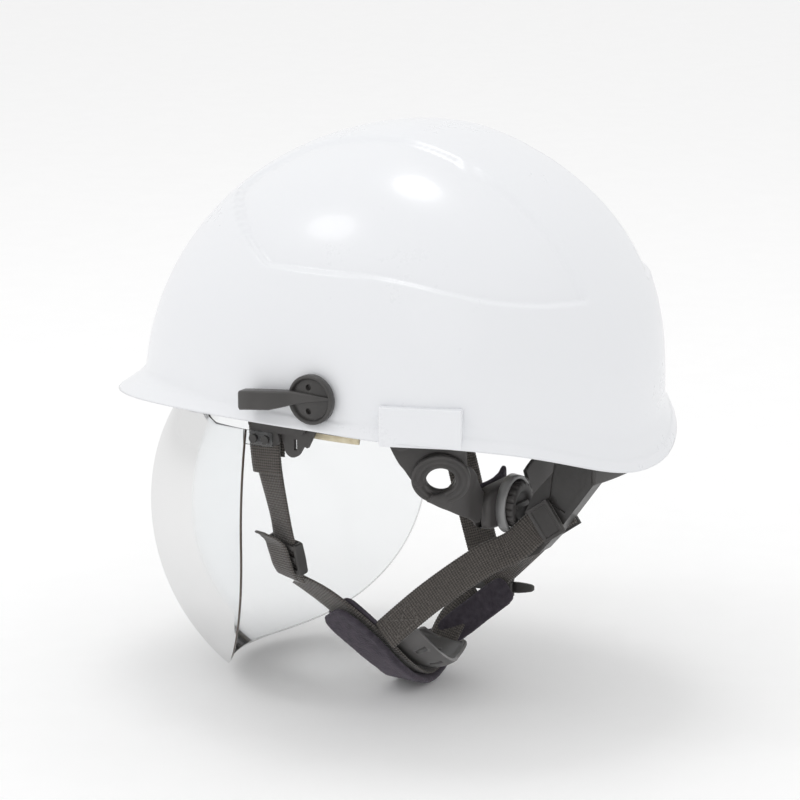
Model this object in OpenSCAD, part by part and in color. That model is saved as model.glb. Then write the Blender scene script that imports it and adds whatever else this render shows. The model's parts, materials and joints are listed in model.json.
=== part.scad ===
// Industrial safety helmet with a retractable face shield worked by two side levers,
// a ratchet headband and a chinstrap with a chin cup.
// +X is the wearer's left, -Y is the front and +Z is up. The origin lies on the middle
// plane, level with the lower edge of the rim at the sides. Millimetres.

/* [Shell] */
// Height of the crown above the side rim
crown_h = 137.5; // [136:0.5:140]
// Half width of the dome at the rim
half_w = 106; // [105.5:0.5:108]
// Length of the dome ahead of its widest section
front_len = 153; // [151:1:156]
// Length of the dome behind its widest section
rear_len = 123; // [121:1:126]
// Wall thickness of the shell
wall = 2.4; // [2.2:0.1:2.4]
// Depth of the recessed side panels
panel_depth = 2.2; // [1:0.1:2.2]

/* [Face shield] */
// Half width of the bubble-shaped sheet
sheet_half_w = 93.8; // [92:0.1:94]
// Thickness of the sheet
sheet_t = 2; // [1.5:0.1:2]
// Swing of the shield from lowered to stowed, in degrees
swing = 42; // [40:0.5:42]

/* [Headband] */
// Half width of the headband
band_half_w = 77.5; // [74:0.5:78]
// Half length of the headband
band_half_l = 99; // [95:1:100]
// Height of the headband
band_h = 34; // [30:1:36]

/* [Straps] */
// Width of the webbing
web_w = 16.5; // [12:0.5:18]
// Thickness of the webbing
web_t = 1.5; // [1.2:0.1:1.6]

/* [Hidden] */
$fn = 24;

plan_e = 2 / 2.2;              // squareness of the dome's plan
rim_rows = [0, 2, 5, 9, 14, 20];
dome_rows = 11;
dome_cols = 60;
pivot = [0, 17];               // lever axis, as Y and Z
hub = [63.2, -54.2];           // centre of the guide arcs, as Y and Z
crank_r = 53.6;
crank_rest = 193;            // direction of the crank at rest, in the YZ plane
guide_r = 100;
pin_r = 2.5;
carrier_x = 83.8;               // inner face of the carrier plate
carrier_t = 1.6;
crank_x = 88.7;                // inner face of the crank
guide_x = 80.5;                // inner face of the guide plate
spindle_r = 4;
bush_r = 5;
screw_at = [[22, 4], [45, 12]];
stud_at = [34, -4];
arm_rivet_at = [30, 15];
bore_r = 7.25;                 // headband boss bore
boss_at = [68, 48, -25.4];
boss_axis = [0.82, 0.45, -0.35];
ratchet_at = [0, 44, -54];
gear_m = 0.8;                  // gear module
tooth = PI * gear_m;           // rack pitch
pinion_teeth = 10;
pinion_r = pinion_teeth * gear_m / 2;
eps = 0.01;

// ---------- helpers ----------
function sgn(v) = v < 0 ? -1 : 1;
function spow(v, e) = sgn(v) * pow(abs(v), e);
function unit(v) = v / norm(v);
function clamp01(v) = min(1, max(0, v));
function smooth(v) = let (c = clamp01(v)) c * c * (3 - 2 * c);
function polar(c, r, a) = [c[0] + r * cos(a), c[1] + r * sin(a)];

// Catmull-Rom curve through the control points, with n steps for each span
function cr(a, b, c, d, t) = 0.5 * ((2 * b) + (c - a) * t + (2 * a - 5 * b + 4 * c - d) * t * t
    + (3 * b - a - 3 * c + d) * t * t * t);
function spline(p, n) = let (m = len(p)) concat(
    [for (i = [0 : m - 2], k = [0 : n - 1])
        cr(p[max(i - 1, 0)], p[i], p[i + 1], p[min(i + 2, m - 1)], k / n)], [p[m - 1]]);

// Each four-sided face as two triangles
function split(quads) = [for (q = quads, t = [[0, 1, 2], [0, 2, 3]]) [for (k = t) q[k]]];

// Strip along stations [x, y, z, wx, wy, wz, width], where w is the direction of its width;
// stations without a width of their own take the common one
module ribbon(stations, width, thick, shift = 0) {
    n = len(stations);
    at = [for (s = stations) [s[0], s[1], s[2]]];
    dir = [for (s = stations) [s[3], s[4], s[5]]];
    tan = [for (i = [0 : n - 1]) unit(at[min(i + 1, n - 1)] - at[max(i - 1, 0)])];
    wid = [for (i = [0 : n - 1]) unit(dir[i] - tan[i] * (dir[i] * tan[i]))];
    nrm = [for (i = [0 : n - 1]) cross(tan[i], wid[i])];
    pts = [for (i = [0 : n - 1], c = [[-1, -1], [1, -1], [1, 1], [-1, 1]])
        at[i] + wid[i] * c[0] * (len(stations[i]) > 6 ? stations[i][6] : width) / 2
            + nrm[i] * (shift + c[1] * thick / 2)];
    sides = [for (i = [0 : n - 2], k = [0 : 3]) let (a = i * 4 + k, b = i * 4 + (k + 1) % 4)
        [a, a + 4, b + 4, b]];
    polyhedron(pts, concat([[0, 1, 2, 3]], split(sides),
        [[for (k = [3 : -1 : 0]) (n - 1) * 4 + k]]));
}

// Plate parallel to the middle plane, from a 2D outline drawn in Y and Z
module side_plate(x, t) {
    translate([x, 0, 0]) rotate([90, 0, 90]) linear_extrude(t) children();
}

// Cylinder along X at a place given as Y and Z
module side_rod(at, r, x0, x1) {
    translate([x0, at[0], at[1]]) rotate([0, 90, 0]) cylinder(r = r, h = x1 - x0);
}

// Draws along a direction from a point
module along(p, n) {
    translate(p) rotate([0, acos(n[2] / norm(n)), atan2(n[1], n[0])]) children();
}

module right() { mirror([1, 0, 0]) children(); }
module both() { children(); right() children(); }

// ---------- shell ----------
function fall(s, p, q) = pow(1 - pow(clamp01(s), p), 1 / q);
function rim_z(a) = let (f = max(0, -sin(a)), r = max(0, sin(a)))
    1.5 - 10.5 * pow(f, 3) - 5.5 * r - 20 * pow(r, 6);
function dome_pt(a, z) = let (s = z / crown_h,
    lng = sin(a) < 0 ? front_len * fall(s, 1.7, 2.02) : rear_len * fall(s, 2.8, 1.55))
    [half_w * fall(s, 2.8, 2.2) * spow(cos(a), plan_e), lng * spow(sin(a), plan_e), z];
function dome_nrm(p) = unit([p[0] / pow(half_w, 2),
    p[1] / pow(p[1] < 0 ? front_len : rear_len, 2), max(0, p[2]) / pow(crown_h, 2)]);
function flare(a, h) = let (f = pow(max(0, -sin(a)), 2), r = pow(max(0, sin(a)), 2))
    (3.4 + 12.6 * f + 2.6 * r) * pow(clamp01(1 - h / (7 + 8 * f + 13 * r)), 1.5);
function panel(p) = let (ledge = 77 - 14 * smooth((p[1] - 20) / 90),
    front = -38 - (p[2] - 77) * 1.63, ridge = 35 + 9 * smooth((-40 - p[1]) / 42))
    panel_depth * smooth((abs(p[0]) - ridge + 4) / 8) * smooth((p[2] - ledge + 2) / 5)
        * smooth((p[1] - front) / 8);
function shell_pt(a, h, z) = let (p = dome_pt(a, z)) p + dome_nrm(p) * (flare(a, h) - panel(p));
function row_z(a, k) = let (low = rim_z(a), n = len(rim_rows), top = low + rim_rows[n - 1])
    k < n ? low + rim_rows[k] : top + (crown_h - top) * sin(90 * (k - n + 1) / (dome_rows + 1));

module dome() {
    rows = len(rim_rows) + dome_rows;
    n = dome_cols;
    outer = [for (k = [0 : rows - 1], i = [0 : n - 1]) let (a = 360 * i / n, z = row_z(a, k))
        shell_pt(a, z - rim_z(a), z)];
    inner = [for (p = outer) p - dome_nrm(p) * wall];
    tops = [[0, 0, crown_h], [0, 0, crown_h - wall]];
    m = rows * n;
    skin = [for (k = [0 : rows - 2], i = [0 : n - 1]) let (j = (i + 1) % n)
        [k * n + i, (k + 1) * n + i, (k + 1) * n + j, k * n + j]];
    cap = [for (i = [0 : n - 1]) [(rows - 1) * n + i, 2 * m, (rows - 1) * n + (i + 1) % n]];
    skin_in = [for (f = skin) [f[3] + m, f[2] + m, f[1] + m, f[0] + m]];
    cap_in = [for (i = [0 : n - 1])
        [m + (rows - 1) * n + (i + 1) % n, 2 * m + 1, m + (rows - 1) * n + i]];
    edge = [for (i = [0 : n - 1]) let (j = (i + 1) % n) [i, j, m + j, m + i]];
    polyhedron(concat(outer, inner, tops), concat(split(concat(skin, skin_in, edge)), cap, cap_in));
}

// Raised housing on the rim with an accessory slot that opens downwards
block_at = [97.4, 54, 6.7];
block_turn = 19.9;
module slot_block() {
    translate(block_at) rotate([0, 0, block_turn]) translate([-1.2, -20, -8.5])
        cube([5.2, 40, 19]);
}
module accessory_slot() {
    translate(block_at) rotate([0, 0, block_turn]) translate([0.9, -15, -9.5])
        cube([2, 30, 17]);
}

module shell() {
    color("white") difference() {
        union() {
            dome();
            both() {
                translate([18, 117.2, -14]) rotate([-90, 0, 0]) cylinder(r = 3.5, h = 4);
                slot_block();
                side_rod(screw_at[0], 5, guide_x + 2.6, 103.4);
                side_rod(screw_at[1], 5, guide_x + 2.6, 98.8);
                translate([-crown_rear[0], crown_rear[1], crown_rear[2] + 4])
                    rotate([0, 90, key_turn]) {
                        translate([0, 0, 2.1]) cylinder(r = 3, h = 10);
                        translate([0, 0, 3.3]) cylinder(r = 5, h = 9);
                    }
            }
        }
        both() {
            side_rod(pivot, bush_r + 0.05, 95, 115);
            accessory_slot();
            for (s = screw_at) side_rod(s, 1.5, 80, 93);
            translate([18, 110, -14]) rotate([-90, 0, 0]) cylinder(r = 1.5, h = 9.5);
        }
    }
}

module spindle_bushes() {
    color("dimgray") both() difference() {
        union() {
            side_rod(pivot, bush_r, 101.8, 107);
            side_rod(pivot, 8, 101.6, 102.9);
        }
        side_rod(pivot, spindle_r + 0.05, 100, 110);
    }
}

// ---------- face shield ----------
sheet_c = [-43.6, -68.3];      // centre of the bubble, as Y and Z
sheet_ry = 111;
sheet_rz = 109.4;
sheet_rz_up = 100;
sheet_tip = -155.9;
sheet_edge_y = -53;
function sheet_k(z) = let (d = z - sheet_c[1])
    sqrt(1 - pow(d / (d > 0 ? sheet_rz_up : sheet_rz), 2));
function sheet_ax(z) = let (d = z - sheet_c[1])
    d > 0 ? sheet_half_w - 5.6 * pow(d / 58, 2) : sheet_half_w * sheet_k(z);
function sheet_side_y(z) = z > -70 ? sheet_edge_y
    : -115 + 62 * sqrt(max(0, 1 - pow((z + 70) / 86, 2)));
function sheet_top(u) = 5 - 14 * smooth((abs(u) - 0.55) / 0.3);
function sheet_pt(u, v) = let (z = sheet_tip + (sheet_top(u) - sheet_tip) * (1 - cos(90 * v)),
    ry = sheet_ry * sheet_k(z), end = acos(min(1, (sheet_c[0] - sheet_side_y(z)) / ry)))
    [sheet_ax(z) * sin(end * u), sheet_c[0] - ry * cos(end * u), z];
function sheet_nrm(p) = unit([p[0] / pow(sheet_half_w, 2),
    (p[1] - sheet_c[0]) / pow(sheet_ry, 2), (p[2] - sheet_c[1]) / pow(sheet_rz, 2)]);

module visor_sheet() {
    cols = 20;
    rows = 15;
    w = cols + 1;
    outer = concat([sheet_pt(0, 0)],
        [for (r = [1 : rows], c = [0 : cols]) sheet_pt(2 * c / cols - 1, r / rows)]);
    inner = [for (p = outer) p - sheet_nrm(p) * sheet_t];
    m = len(outer);
    skin = concat(
        [for (c = [0 : cols - 1]) [0, 1 + c, 2 + c]],
        split([for (r = [0 : rows - 2], c = [0 : cols - 1]) let (a = 1 + r * w + c)
            [a, a + w, a + w + 1, a + 1]]));
    rim = concat([0], [for (r = [0 : rows - 1]) 1 + r * w],
        [for (c = [1 : cols]) 1 + (rows - 1) * w + c],
        [for (r = [rows - 2 : -1 : 0]) 1 + r * w + cols]);
    edge = [for (i = [0 : len(rim) - 1]) let (a = rim[i], b = rim[(i + 1) % len(rim)])
        [a, m + a, m + b, b]];
    back = [for (f = skin) [for (i = [len(f) - 1 : -1 : 0]) f[i] + m]];
    color([0.85, 0.93, 0.95, 0.35]) difference() {
        union() {
            polyhedron(concat(outer, inner), concat(skin, back, split(edge)));
            both() translate([carrier_x + carrier_t + 0.05, -54.5, -17]) cube([1.6, 17, 7.5]);
        }
        both() for (y = rivet_y) side_rod([y, rivet_z], 1.25, 84, 92);
    }
}
rivet_y = [-48, -41];
rivet_z = -13.2;

// Radial slot for the crank pin, on the line from the guide centre
slot_a = 153.1;
module carrier() {
    difference() {
        side_plate(carrier_x, carrier_t) union() {
            translate(hub) rotate(slot_a) translate([120, -5.4]) square([28.9, 10.8]);
            hull() {
                translate([-47.5, -12.6]) circle(3.9);
                translate([-38, -12.6]) circle(3.9);
                translate([-44, -2]) circle(5);
            }
            hull() {
                translate([-44, -4]) circle(6);
                translate(polar(hub, guide_r, 150)) circle(5);
                translate(polar(hub, guide_r, 143)) circle(5);
            }
        }
        hull() for (r = [129, 160]) side_rod(polar(hub, r, slot_a), pin_r + 0.65, 80, 90);
        for (y = rivet_y) side_rod([y, rivet_z], 1.25, 80, 90);
    }
    for (a = [143, 150]) side_rod(polar(hub, guide_r, a), pin_r, guide_x + 0.3, carrier_x + eps);
}
module carrier_left() { color("#3a3836") carrier(); }
module carrier_right() { color("#3a3836") right() carrier(); }

module carrier_rivets() {
    color("silver") both() for (y = rivet_y) {
        side_rod([y, rivet_z], 1.24, carrier_x - 0.5, 88);
        side_rod([y, rivet_z], 2.2, carrier_x + 3.27, 88.2);
        side_rod([y, rivet_z], 2.2, carrier_x - 0.6, carrier_x - 0.02);
    }
}

// ---------- levers ----------
disc_x = 107.6;
module lever() {
    // domed disc
    translate([disc_x, pivot[0], pivot[1]]) rotate([0, 90, 0]) rotate_extrude()
        polygon(concat([[0, 0], [12.4, 0], [12.4, 2.6]],
            [for (k = [0 : 6]) [11.6 - k * 11.6 / 6, 3.4 + 1.6 * sin(k * 15)]]));
    // spindle through the shell
    side_rod(pivot, spindle_r, 88.9, disc_x + eps);
    // paddle, pointing forwards
    hull() {
        translate([disc_x + 1, pivot[0] - 38, pivot[1] - 8.5]) cube([7.5, 1, 9.7]);
        translate([disc_x + 1, pivot[0] - 22, pivot[1] - 6.7]) cube([7.5, 1, 9.4]);
        translate([disc_x + 3, pivot[0] + 9, pivot[1] + 1]) cube([3, 1, 1.6]);
    }
}
module lever_left() { color("#2e2c2b") lever(); }
module lever_right() { color("#2e2c2b") right() lever(); }

module crank() {
    pin_at = polar(pivot, crank_r, crank_rest);
    difference() {
        union() {
            hull() {
                side_rod(pivot, 8, crank_x, crank_x + 2);
                side_rod(pin_at, 5, crank_x, crank_x + 2);
            }
            side_rod(pivot, 7, crank_x, crank_x + 6);
        }
        side_rod(pivot, spindle_r + 0.02, crank_x - 1, crank_x + 8);
    }
    side_rod(pin_at, pin_r, carrier_x, crank_x + eps);
}
module crank_left() { color("silver") crank(); }
module crank_right() { color("silver") right() crank(); }

module retaining_clip() {
    difference() {
        side_rod(pivot, 6.5, 94.9, 95.9);
        side_rod(pivot, spindle_r + 0.02, 94, 97);
    }
}
module retaining_clip_left() { color("silver") retaining_clip(); }
module retaining_clip_right() { color("silver") right() retaining_clip(); }

// ---------- side guides ----------
module arc_slot(r, a0, a1, half) {
    translate([0, hub[0], hub[1]]) rotate([90, 0, 90]) rotate([0, 0, a0])
        rotate_extrude(angle = a1 - a0, $fn = 240)
            translate([r - half, guide_x - 1]) square([2 * half, 5]);
}
module guide() {
    difference() {
        union() {
            side_plate(guide_x, 2.5) union() {
                intersection() {
                    translate(hub) difference() {
                        circle(r = guide_r + 8, $fn = 96);
                        circle(r = guide_r - 9, $fn = 96);
                    }
                    polygon([hub, polar(hub, 150, 94), polar(hub, 200, 125), polar(hub, 150, 155)]);
                }
                hull() for (s = [[20, 0], [47, 13], [34, -4]]) translate(s) circle(6);
                hull() for (s = [[16, 6], [47, 15], [2, 22]]) translate(s) circle(5);
                hull() for (s = [[-32, -4], [-28, -17], [-22, -7]]) translate(s) circle(4.5);
            }
            // bar that carries the front webbing
            side_plate(guide_x - 3.4, 2) hull() {
                translate([-54, -8]) circle(2.5);
                translate([-30, -8]) circle(2.5);
            }
            side_plate(guide_x - 3.4, 5) translate([-33, -12]) square([7, 8]);
        }
        arc_slot(guide_r, 150 - swing - 9.2, 151.7, pin_r + 0.15);
        for (s = screw_at) side_rod(s, 1.7, guide_x - 1, guide_x + 4);
        side_rod(stud_at, 2.05, guide_x - 1, guide_x + 4);
        side_plate(guide_x - 1, 5) translate([-27, -17.5]) square([1.8, 5.4]);
    }
}
module guide_left() { color("#33302e") guide(); }
module guide_right() { color("#33302e") right() guide(); }

module guide_screws() {
    color("silver") both() for (s = screw_at) {
        side_rod(s, 1.48, guide_x - 1, 92);
        difference() {
            side_rod(s, 3.2, guide_x - 1.4, guide_x - 0.02);
            side_plate(guide_x - 2, 1.1) translate([s[0] - 2.4, s[1] - 0.4]) square([4.8, 0.8]);
        }
    }
}

// ---------- headband ----------
band_y = -8;
module band_ring(off, t, a0, a1, n) {
    function at(a, d) = [(band_half_w - d) * cos(a), band_y + (band_half_l - d) * sin(a)];
    polygon(concat([for (i = [0 : n]) at(a0 + (a1 - a0) * i / n, off)],
        [for (i = [n : -1 : 0]) at(a0 + (a1 - a0) * i / n, off + t)]));
}
module headband() {
    color("#33302e") difference() {
        translate([0, 0, -9]) linear_extrude(band_h) band_ring(0, 1.6, -210, 30, 56);
        both() side_rod(stud_at, 2.05, 60, 80);
        both() side_rod(arm_rivet_at, 2.05, 60, 80);
        for (s = [-1, 1], y = [-95, -100]) translate([s * 24, y, 4]) rotate([90, 0, 0])
            cylinder(r = 2, h = 20, center = true);
    }
}
module band_studs() {
    color("dimgray") both() {
        side_rod(stud_at, 2, 66.5, 83.2);
        side_rod(stud_at, 4, 77.4, guide_x - 0.02);
        side_rod(stud_at, 3.4, guide_x + 2.52, guide_x + 3.3);
        side_rod(stud_at, 3.4, 65.2, 66.8);
    }
}
module sweatband() {
    color("#e8dcc0") translate([0, 0, -12.6]) linear_extrude(34) band_ring(1.8, 3.2, -188, 8, 44);
}

// Side arm: a tab on the headband, a round boss below the rim and a tail round to the nape
arm_tab = spline([[72.5, 32, 20, -0.33, 0.94, 0, 34], [71.6, 38, 4, -0.3, 0.95, 0, 38],
    [71, 44.5, -11, -0.3, 0.95, 0, 36], [68.6, 49, -24, -0.5, 0.86, 0, 26]], 4);
arm_tail = spline([[68, 49, -26, 0.2, 0.1, 1, 26], [56, 51.5, -33, 0.25, 0.2, 1, 24],
    [42, 50.5, -41, 0.2, 0.1, 1, 21], [30, 47.4, -48, 0, 0, 1, 18]], 5);
module arm() {
    difference() {
        union() {
            ribbon(arm_tab, 30, 2.2);
            ribbon(arm_tail, 30, 2.2);
            along(boss_at, boss_axis) cylinder(r = 14.5, h = 4.4, center = true);
        }
        along(boss_at, boss_axis) cylinder(r = bore_r, h = 30, center = true);
        side_rod(stud_at, 4.2, 60, 90);
        side_rod(arm_rivet_at, 2.05, 60, 90);
    }
}
module arm_left() { color("#3a3836") arm(); }
module arm_right() { color("#3a3836") right() arm(); }
module arm_rivets() {
    color("dimgray") both() {
        side_rod(arm_rivet_at, 2, 68, 76.5);
        side_rod(arm_rivet_at, 3.2, 75.9, 76.8);
        side_rod(arm_rivet_at, 3.2, 67.6, 68.5);
    }
}

// ---------- nape ratchet ----------
function gear_pts(n, m) = [for (i = [0 : n - 1], k = [0 : 3])
    let (a = 360 / n * (i + [-0.36, -0.14, 0.14, 0.36][k]),
        r = n * m / 2 + (k == 0 || k == 3 ? -1.2 * m : 0.9 * m))
    [r * cos(a), r * sin(a)]];
module rack_bar() {
    // toothed strip, teeth upwards, starting below the pinion axis
    h = 3.4;
    root = -pinion_r - 1.25 * gear_m;
    linear_extrude(2.6) union() {
        translate([-18, root - h]) square([54, h]);
        for (i = [-6 : 5]) translate([i * tooth, root - eps])
            polygon(gear_m * [[-1.1, 0], [1.1, 0], [0.42, 2], [-0.42, 2]]);
    }
}
module rack_left() {
    color("#4a4744") translate(ratchet_at) rotate([90, 0, 0])
        translate([tooth / 2, 0, -1.3]) mirror([0, 1, 0]) rack_bar();
}
module rack_right() {
    color("#4a4744") translate(ratchet_at) rotate([90, 0, 0])
        mirror([1, 0, 0]) translate([tooth / 2, 0, -1.3]) rack_bar();
}
module ratchet_knob() {
    color("#55524f") translate(ratchet_at) rotate([-90, 0, 0]) {
        linear_extrude(3, center = true) rotate(90) polygon(gear_pts(pinion_teeth, gear_m));
        cylinder(r = 3, h = 9);
        translate([0, 0, 6.2]) difference() {
            cylinder(r = 11.8, h = 7.2);
            for (a = [0 : 20 : 340]) rotate(a) translate([12.6, 0, -1]) cylinder(r = 1.3, h = 12, $fn = 8);
            translate([0, 0, 5.4]) cylinder(r = 7, h = 3);
        }
    }
}
module ratchet_housing() {
    color("#3a3836") translate(ratchet_at) rotate([-90, 0, 0]) difference() {
        hull() {
            translate([0, 0, -4]) linear_extrude(9.6) square([44, 21], center = true);
            translate([0, 2, -4]) cylinder(r = 11.5, h = 9.6);
        }
        translate([-60, -8.7, -1.7]) cube([120, 17.4, 3.4]);
        cylinder(r = 3.1, h = 20);
        for (x = [-18, 18]) translate([x, 0, -6]) cylinder(r = 1.95, h = 4);
    }
}
module nape_pad() {
    color("#3d3b42") {
        ribbon(spline([[28, 31, -47, 0, 0, 1], [16, 35.5, -49, 0, 0, 1], [0, 37.2, -50, 0, 0, 1],
            [-16, 35.5, -49, 0, 0, 1], [-28, 31, -47, 0, 0, 1]], 4), 13, 4);
        for (x = [-18, 18]) translate([x, 35, -54]) rotate([-90, 0, 0]) cylinder(r = 1.9, h = 6.5);
    }
}

// ---------- crown ----------
crown_y = -8;
// Arc over the crown, from a front end e to a rear end r, each as [x, y, z]
function crown_path(e, r, top) = [for (k = [0 : 24]) let (a = 7.5 * k, c = cos(a),
    q = c > 0 ? e : r, d = [q[0], q[1] - crown_y])
    [d[0] * abs(c), crown_y + d[1] * abs(c), q[2] + (top - q[2]) * pow(sin(a), 0.9),
        (c > 0 ? -d[1] : d[1]) , (c > 0 ? d[0] : -d[0]), 0]];
crown_front = [68.5, -65, 12];
crown_rear = [-66, 75, 8];
module crown_strap_a() { color("#4a4744") ribbon(crown_path(crown_front, crown_rear, 104), 19, 1.2); }
module crown_strap_b() {
    color("#4a4744") right() ribbon(crown_path(crown_front, crown_rear, 101.8), 19, 1.2);
}
// Studs from the front strap ends into the headband, and rear keys on the shell's posts
key_turn = atan2(crown_rear[1] - crown_y, -crown_rear[0]);
module crown_keys() {
    color("dimgray") both() {
        translate([-crown_rear[0], crown_rear[1], crown_rear[2] + 4]) rotate([0, 90, key_turn])
            difference() {
                translate([0, 0, 0.75]) cylinder(r = 9, h = 2.4);
                translate([0, 0, 2]) cylinder(r = 3.06, h = 5);
            }
        translate([crown_front[0], crown_front[1], 19]) rotate([0, 90, -40]) {
            translate([0, 0, 0.9]) cylinder(r = 3.4, h = 1);
        }
    }
}
module crown_pad() {
    color("#3d3b42") translate([0, crown_y, 0]) rotate_extrude() polygon(concat(
        [for (k = [0 : 4]) [33 * k / 4, 100.4 - 6.2 * pow(k / 4, 2)]],
        [for (k = [4 : -1 : 0]) [33 * k / 4, 95 - 5.4 * pow(k / 4, 2)]]));
}

// ---------- chinstrap ----------
// Webbing that loops over the bar of a guide, from the short layer inside
bar_loop = [[76, -45.2, -24, 0, 1, 0], [76, -45.2, -10, 0, 1, 0], [76.1, -45.2, -5, 0, 1, 0],
    [76.8, -45.2, -3.2, 0, 1, 0], [78.1, -45.2, -2.7, 0, 1, 0], [79.4, -45.2, -3.2, 0, 1, 0],
    [80.1, -45.2, -5, 0, 1, 0], [80.2, -45.2, -10, 0, 1, 0]];
module front_strap_left() {
    color("#474340") ribbon(concat(bar_loop, spline([[80, -43.6, -28, 0.15, 1, 0],
        [76, -40.4, -54, 0.35, 1, 0], [73, -39.5, -68, 0.35, 1, 0.1],
        [68.4, -39.1, -84, 0.35, 1, 0.2], [65.9, -39.4, -90, 0.35, 1, 0.3]], 5)), web_w, web_t);
}
module front_strap_right() {
    color("#474340") right() ribbon(concat(bar_loop, spline([[79.2, -42.2, -21, 0, 1, 0],
        [70, -22.5, -43, 0.1, 1, -0.3], [57, -5, -73, 0.2, 1, -0.5],
        [50, 5, -91, 0.2, 1, -0.4], [46.2, 11.5, -104.4, 0.1, 1, -0.1]], 4)), web_w, web_t);
}
// Loop that slides along the front webbing, where the webbing runs straight
slide_lo = [68.7, -39.2, -83];
slide_hi = [72.7, -39.5, -69];
module slider_left() {
    ends = [for (p = [slide_hi, slide_lo]) concat(p, [0.35, 1, 0.15])];
    color("#33302e") difference() {
        ribbon(ends, 20, 6);
        ribbon([for (e = [2, -1]) [for (k = [0 : 5])
            k < 3 ? slide_lo[k] + (slide_hi[k] - slide_lo[k]) * e : [0.35, 1, 0.15][k - 3]]],
            web_w + 1, web_t + 1);
    }
}
chin_path = spline([[62.5, -39, -91, 0.4, 1, 0.3], [55, -26, -101, 0.3, 1, 0.4],
    [43, -8, -120, 0.2, 1, 0.2], [27, 2, -139, 0.15, 1, 0], [2, -2, -151, 0, 1, 0],
    [-20, -4, -146, -0.1, 1, 0], [-32, -1, -132, -0.1, 1, 0], [-39.5, 6, -123, 0, 1, -0.2],
    [-42.4, 9, -121, 0, 1, -0.1]], 5);
function moved(path, d) = [for (p = path) [p[0] + d[0], p[1] + d[1], p[2] + d[2], p[3], p[4], p[5]]];
function part_of(path, a, b) = [for (i = [a : b]) path[i]];
module chin_strap() { color("#474340") ribbon(chin_path, web_w, web_t); }
module chin_pad() {
    color("#38323b") ribbon(moved(part_of(chin_path, 8, 34), [0, -4, 0]), 23, 4, 3.4);
}
module chin_cup() {
    color("#4d4b4a") difference() {
        ribbon(moved(part_of(chin_path, 13, 31), [0, 4, 0]), 29, 2.2, -2.5);
        for (y = [9, 14]) translate([10, y, -138]) cube([30, 1.8, 8]);
    }
}
// Quick-release buckle on the right side, with a hinged tongue that points backwards
buckle_at = [-45.6, 14, -113];
buckle_hinge = [-46.4, 25, -115];
module buckle_body() {
    color("#2e2c2b") difference() {
        union() {
            translate(buckle_at) cube([6, 18, 10], center = true);
            translate(buckle_hinge) cylinder(r = 2.4, h = 10, center = true);
        }
        translate(buckle_hinge) cylinder(r = 1.05, h = 14, center = true);
        translate(buckle_hinge) cylinder(r = 3.2, h = 6.4, center = true);
    }
}
module buckle_lever() {
    color("#2e2c2b") difference() {
        union() {
            translate(buckle_hinge) cylinder(r = 2.4, h = 6, center = true);
            hull() {
                translate(buckle_hinge + [-1, 1, -3]) cube([2.4, 1, 6]);
                translate(buckle_hinge + [-1.4, 13, -1.8]) cube([2, 1, 3.6]);
            }
        }
        translate(buckle_hinge) cylinder(r = 1.05, h = 12, center = true);
    }
}
module buckle_pin() {
    color("silver") translate(buckle_hinge) cylinder(r = 1, h = 10.6, center = true);
}
// Rear hanger: a bracket in the middle that hangs from the rear of the shell, with a cover
// on each side that holds the end of a rear strap
clamp_dir = [0, 0.81, 0.58];
clamp_wid = [0, 0.58, -0.81];
clamp_from = [0, 69.3, -61.8];
function clamp_pt(s, x) = clamp_from + clamp_dir * s + [x, 0, 0];
bridge_y = 116.4;
module rear_hanger() {
    color("#2e2c2b") difference() {
        union() {
            side_plate(-6, 12) polygon([[77, -33], [80, -12], [100, -14], [99.5, -37], [76.5, -68.5],
                [70, -76], [62, -80], [55, -79.5], [52.5, -76], [60.6, -72.5], [61.4, -56],
                [66, -46]]);
            side_plate(-5, 10) polygon([[93, -12], [115.5, -12], [115.5, -20], [96, -24]]);
            ribbon([for (x = [-32, -24, -16, -8, 0, 8, 16, 24, 32])
                [x, bridge_y - pow(x, 2) / 280, -20, 0, 0, 1]], 17, 2.6);
        }
        for (x = [-18, 18]) translate([x, 100, -14]) rotate([-90, 0, 0]) cylinder(r = 1.7, h = 25);
        for (x = [-1, 1], s = clamp_at) translate(clamp_pt(s, 6 * x)) rotate([0, 90, 0])
            cylinder(r = 1.55, h = 5, center = true);
    }
}
module hanger_screws() {
    color("silver") for (x = [-18, 18]) translate([x, 0, -14]) rotate([-90, 0, 0]) {
        translate([0, 0, 112]) cylinder(r = 3, h = 1.5);
        translate([0, 0, 113]) cylinder(r = 1.48, h = 6);
    }
}
clamp_at = [4, 10];            // pegs along the cover
module clamp() {
    translate(clamp_pt(0, 7.8)) rotate([35.6, 0, 0]) translate([0, 0, -9.5])
        cube([1.8, 13.5, 19]);
    for (s = clamp_at) translate(clamp_pt(s, 4.2)) rotate([0, 90, 0]) cylinder(r = 1.5, h = 3.7);
}
module clamp_left() { color("#3a3836") clamp(); }
module clamp_right() { color("#3a3836") right() clamp(); }
module rear_strap(end) {
    difference() {
        ribbon(concat([concat(clamp_pt(13, 6.9), clamp_wid), concat(clamp_pt(-1.5, 6.9), clamp_wid)],
            end), web_w, web_t);
        for (s = clamp_at) translate(clamp_pt(s, 3)) rotate([0, 90, 0]) cylinder(r = 1.6, h = 8);
    }
}
module rear_strap_left() {
    color("#474340") rear_strap([[13.5, 59.2, -72.2, 0.1, 0.6, -0.75],
        [24, 46.5, -79.5, 0.1, 0.6, -0.75], [36.5, 23.5, -98.6, 0.1, 0.75, -0.6],
        [47.2, 3.1, -119.1, 0.1, 0.87, -0.48]]);
}
module rear_strap_right() {
    color("#474340") right() rear_strap([[13.5, 59.2, -72.2, 0.1, 0.6, -0.75],
        [35, 34, -94, 0.1, 0.8, -0.5], [40.6, 19, -108, 0, 0.85, -0.4],
        [41.2, 13, -113.5, 0, 0.85, -0.4]]);
}

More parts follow.
